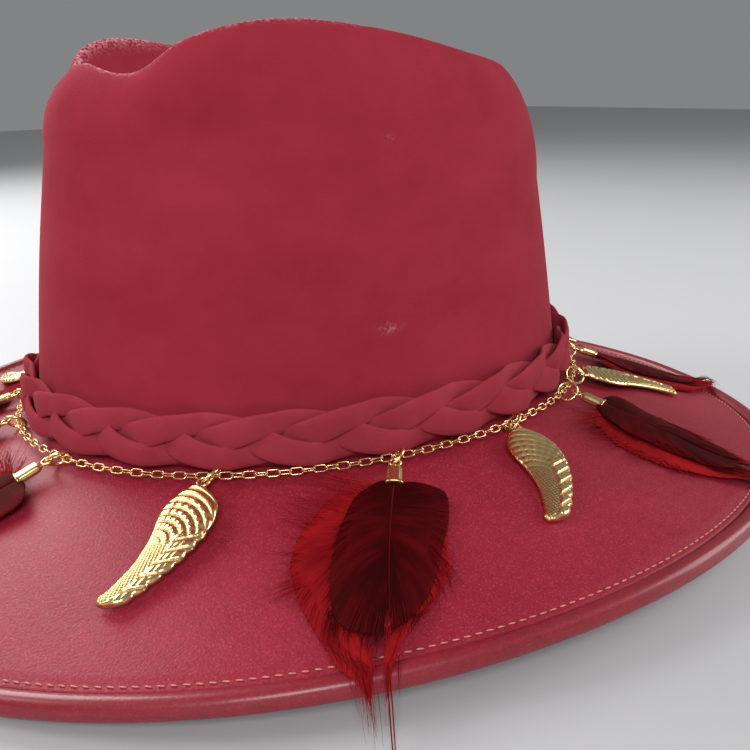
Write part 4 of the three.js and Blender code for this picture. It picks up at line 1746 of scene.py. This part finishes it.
@dataclass
class Tassel:
    """Tuft of dyed feathers that drapes over the brim from a crimp, with down at its edges."""

    plumes: tuple[Plume, ...] = (BACK_PLUME, SIDE_PLUME, FRONT_PLUME)
    downs: tuple[Down, ...] = DOWNS
    rows: int = 96
    columns: int = 11
    thickness: float = 0.16
    fringe: int = 60
    steps: int = 7
    ride: float = 0.5
    root_lift: float = 2.3
    seed: int = 20
    lines: list[np.ndarray] = field(default_factory=list)
    radii: list[np.ndarray] = field(default_factory=list)
    tones: list[np.ndarray] = field(default_factory=list)

    def _drape(
        self, place: tuple[np.ndarray, float, float], flat: np.ndarray, height: np.ndarray
    ) -> np.ndarray:
        """Lays points of the tassel's own plan over the brim.

        Args:
            place: the charm's eye, the way the tassel lies, and its size.
            flat: distance out and to the left of each point.
            height: height of each over what it lies on.

        Returns:
            The points.
        """
        origin, heading, scale = place
        s, w = flat[..., 0] * scale, flat[..., 1] * scale
        x = origin[0] + s * math.cos(heading) - w * math.sin(heading)
        y = origin[1] + s * math.sin(heading) + w * math.cos(heading)
        theta, offset = FORM.coordinates(x, y)
        z = FORM.brim_top(theta, np.minimum(offset, FORM.leather_edge)) + self.ride
        z = z + 1.6 * smoothstep(offset, 68.0, 83.0)
        z = z - 0.16 * np.maximum(0, offset - 89.0) ** 2
        z = z + self.root_lift * np.clip(1 - (s - 10.0) / 14.0, 0, 1) ** 1.5
        return np.stack([x, y, np.maximum(z + height, 0.5)], axis=-1)

    def _vane(
        self, plume: Plume, place: tuple[np.ndarray, float, float], rng: np.random.Generator
    ) -> tuple[np.ndarray, list[tuple[int, ...]], np.ndarray]:
        """The two vanes of a feather as one thin closed sheet.

        Args:
            plume: the feather.
            place: where the tassel lies.
            rng: the tassel's random numbers.

        Returns:
            Points, faces, and for each point its tone, its barb and its share along the barb.
        """
        u, t = np.linspace(0.0, 1.0, self.rows), np.linspace(0, 1, self.columns)
        flat = np.concatenate([plume.barb(u, t[::-1], 1), plume.barb(u, t[1:], -1)], axis=1)
        across = np.concatenate([t[::-1], t[1:]])[None, :]
        wave = rng.uniform(0, 6.28, 3)
        ripple = 0.30 * np.sin(9 * u + wave[0]) + 0.16 * np.sin(31 * u + wave[1])
        height = plume.lift(u[:, None], across) + ripple[:, None] * across**1.5
        crease = 0.28 * np.exp(-((across / 0.1) ** 2))
        upper = self._drape(place, flat, height - crease)
        under = upper[:, ::-1] - np.array([0, 0, self.thickness])
        rings = np.concatenate([upper, under], axis=1)
        tips = np.stack([rings[0].mean(axis=0), rings[-1].mean(axis=0)])
        points = np.concatenate([rings.reshape(-1, 3), tips])
        side = np.where(np.arange(len(across[0])) < self.columns, 0.0, 7.3)[None, :]
        barb = u[:, None] + side + 0 * across
        drift = 0.05 * np.sin(7 * u + wave[2])[:, None] + 0.10 * (across - 0.4)
        tone = plume.tone + drift
        kept = []
        for grid in (tone, barb, across + 0 * barb):
            both = np.concatenate([grid, grid[:, ::-1]], axis=1)
            kept.append(np.append(both.ravel(), [both[0].mean(), both[-1].mean()]))
        return points, ring_faces(self.rows, rings.shape[1]), np.stack(kept)

    def _add(self, points: np.ndarray, radius: np.ndarray, tone: float) -> None:
        """Keeps one hair."""
        self.lines.append(points)
        self.radii.append(radius)
        self.tones.append(tone + 0 * radius)

    def _hairs(self, place: tuple[np.ndarray, float, float], rng: np.random.Generator) -> None:
        """Adds the quills, the fringe of each vane and the loose down.

        Args:
            place: where the tassel lies.
            rng: the tassel's random numbers.
        """
        t = np.linspace(0, 1, self.steps)
        for plume in self.plumes:
            u = np.linspace(0, 0.97, 26)
            quill = self._drape(place, plume.spine(u), plume.lift(u, 0 * u) - 0.05)
            self._add(quill, np.interp(u, [0, 0.5, 1], [0.42, 0.22, 0.08]), plume.quill_tone)
            for side in (1, -1):
                for start in rng.uniform(0.01, 0.99, self.fringe):
                    reach = 0.72 + (0.33 + rng.uniform(0, 0.10)) * t
                    flat = plume.barb(np.array([start]), reach, side)[0]
                    flat = flat + rng.normal(0, 0.35, 2) * t[:, None] ** 2
                    height = plume.lift(np.array(start), reach) + rng.uniform(0.0, 0.35) * t
                    radius = np.interp(t, [0, 0.5, 1], [0.13, 0.12, 0.03])
                    self._add(self._drape(place, flat, height), radius, plume.tone + rng.uniform(-0.05, 0.16))
        for down in self.downs:
            roots, tips = np.array(down.roots), np.array(down.tips)
            for k in rng.uniform(0, 1, down.count):
                places = (0.0, 0.5, 1.0)
                root = np.array([smooth_row(np.array(k), places, roots[:, i]) for i in (0, 1)])
                tip = np.array([smooth_row(np.array(k), places, tips[:, i]) for i in (0, 1)])
                root = root + rng.normal(0, 0.8, 2)
                tip = root + (tip - root) * rng.uniform(0.55, 1.05) + rng.normal(0, down.spread, 2)
                knee = (root + tip) / 2 + rng.normal(0, down.spread, 2)
                bend = t[:, None]
                flat = root * (1 - bend) ** 2 + 2 * knee * bend * (1 - bend) + tip * bend**2
                height = 0.9 + rng.uniform(0.0, 1.8) * t * (1.4 - t)
                radius = np.interp(t, [0, 0.5, 1], [1.0, 0.8, 0.2]) * down.radius * rng.uniform(0.7, 1.1)
                self._add(self._drape(place, flat, height), radius, down.tone + rng.uniform(-0.15, 0.1))

    def build(
        self, number: int, origin: np.ndarray, heading: float, length: float,
        grower: Grower, finish: bpy.types.Material,
    ) -> None:
        """Makes a tassel.

        Args:
            number: which one, from 1.
            origin: its crimp's eye.
            heading: the way it lies.
            length: length of its front feather's reach.
            grower: the tree that makes hairs.
            finish: the feathers' material.
        """
        rng = np.random.default_rng(self.seed + number)
        place = (origin, heading, length / 60.0)
        parts = [self._vane(plume, place, rng) for plume in self.plumes]
        self._hairs(place, rng)
        bodies = [(points, faces, values[0]) for points, faces, values in parts]
        vanes = joined_object(f"feather_vanes_{number}", bodies, finish, "tone", {
            "barb": np.concatenate([values[1] for _, _, values in parts]),
            "reach": np.concatenate([values[2] for _, _, values in parts]),
        })
        settle(vanes, [f"feather_{number}"])
        base = line_object("hair_lines", self.lines, {"thick": self.radii, "tone": self.tones})
        down = grower.grow(f"feather_down_{number}", base, finish, {"Flatness": 0.7})
        settle(down, [])


# ---- studio -----------------------------------------------------------------------------------


@dataclass(frozen=True)
class Lamp:
    """Square soft light: its place in metres, the side of its panel and its power in watts."""

    name: str
    at: tuple[float, float, float]
    size: float
    power: float


LAMPS = (
    Lamp("key", (-0.45, -0.95, 0.85), 0.6, 6),
    Lamp("front", (0.95, -0.62, 0.72), 0.45, 10),
    Lamp("side", (0.55, 1.05, 0.50), 0.7, 8),
    Lamp("back", (-1.00, -0.14, 0.78), 0.7, 13.5),
)


@dataclass
class Studio:
    """Pale floor, soft lights and the camera."""

    camera_at: tuple[float, float, float] = (302.6, -187.7, 145.7)
    look_at: tuple[float, float, float] = (44.76, -0.51, 42.39)
    roll: float = -1.39
    lens: float = 44.16
    sensor: float = 36.0
    floor_size: float = 6.0
    lamps: tuple[Lamp, ...] = LAMPS
    lit_point: tuple[float, float, float] = (0.0, 0.0, 0.06)
    sky: Colour = (0.83, 0.84, 0.86)
    sky_strength: float = 0.27

    def _floor(self) -> None:
        """Lays the floor."""
        half = self.floor_size * 500
        corners = np.array([[-half, -half, 0], [half, -half, 0], [half, half, 0], [-half, half, 0]])
        floor = mesh_object("floor", corners, np.array([[0, 1, 2, 3]]), FloorFinish().material())

    def _hang(self, lamp: Lamp) -> None:
        """Adds a soft light.

        Args:
            lamp: its place, size and power.
        """
        data = bpy.data.lights.new(lamp.name, "AREA")
        data.shape, data.size, data.energy = "SQUARE", lamp.size, lamp.power
        light = bpy.data.objects.new(lamp.name, data)
        light.location = lamp.at
        facing = Vector(self.lit_point) - Vector(lamp.at)
        light.rotation_euler = facing.to_track_quat("-Z", "Y").to_euler()
        bpy.context.scene.collection.objects.link(light)

    def _lights(self) -> None:
        """Hangs the lights and sets the surrounding light."""
        for lamp in self.lamps:
            self._hang(lamp)
        world = bpy.data.worlds.new("studio")
        world.use_nodes = True
        sky = world.node_tree.nodes["Background"].inputs
        sky["Color"].default_value = (*self.sky, 1)
        sky["Strength"].default_value = self.sky_strength
        bpy.context.scene.world = world
        bpy.context.scene.view_settings.view_transform = "Standard"

    def _camera(self) -> None:
        """Places the camera."""
        data = bpy.data.cameras.new("camera")
        data.lens, data.sensor_width = self.lens, self.sensor
        data.clip_start, data.clip_end = 0.01, 100
        camera = bpy.data.objects.new("camera", data)
        at, aim = Vector(self.camera_at) * MM, Vector(self.look_at) * MM
        forward = (aim - at).normalized()
        level = forward.cross(Vector((0, 0, 1))).normalized()
        upright = level.cross(forward)
        turn = math.radians(self.roll)
        right = level * math.cos(turn) + upright * math.sin(turn)
        up = upright * math.cos(turn) - level * math.sin(turn)
        axes = Matrix((right, up, -forward)).transposed().to_4x4()
        camera.matrix_world = Matrix.Translation(at) @ axes
        bpy.context.scene.collection.objects.link(camera)
        bpy.context.scene.camera = camera

    def build(self) -> None:
        """Sets up the studio."""
        self._floor()
        self._lights()
        self._camera()


# ---- the hat ----------------------------------------------------------------------------------


def main() -> None:
    """Builds the hat, piece by piece."""
    logging.basicConfig(level=logging.INFO, format="%(name)s %(message)s")
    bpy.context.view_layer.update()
    Studio().build()
    suede = SuedeFinish().material()
    leather = LeatherFinish("brim leather").material()
    # The rolled edge's leather, whose painted sheen specks are dimmer than the brim's.
    edge = LeatherFinish(
        "edge leather", dark=(0.195, 0.006, 0.014), light=(0.260, 0.009, 0.021), painted_sheen_colour=(0.36, 0.05, 0.08),
        roughness=0.38, specular=0.34, coat=0.32, coat_roughness=0.2, relief=0.45,
    ).material()
    gold = GoldFinish().material()
    feather = FeatherFinish().material()
    Crown().build(suede)
    Brim().build(leather, edge, ThreadFinish().material())
    Braid().build(SuedeFinish(
        "braid suede", dark=(0.262, 0.024, 0.037), middle=(0.295, 0.030, 0.046), light=(0.330, 0.037, 0.055)
    ).material())
    chain = Chain()
    chain.build(gold)
    ring, wing, crimp, grower = JumpRing(), Wing(), Crimp(), barb_grower()
    made = {Charm.WING: 0, Charm.FEATHER: 0}
    for hanging in HANGINGS:
        made[hanging.kind] += 1
        number = made[hanging.kind]
        middle, eye, heading = ring.places(chain, hanging)
        kind = hanging.kind.value
        ring.build(f"jump_ring_{kind}_{number}", middle, heading, f"{kind}_ring_{number}", gold)
        if hanging.kind is Charm.WING:
            wing.build(number, lay_frame(eye, heading, wing.length, wing.tip_lift), gold)
        else:
            crimp.build(number, lay_frame(eye, heading, crimp.reach, crimp.end_lift), gold)
            Tassel().build(number, eye, heading, hanging.length, grower, feather)


if __name__ == "__main__":
    main()
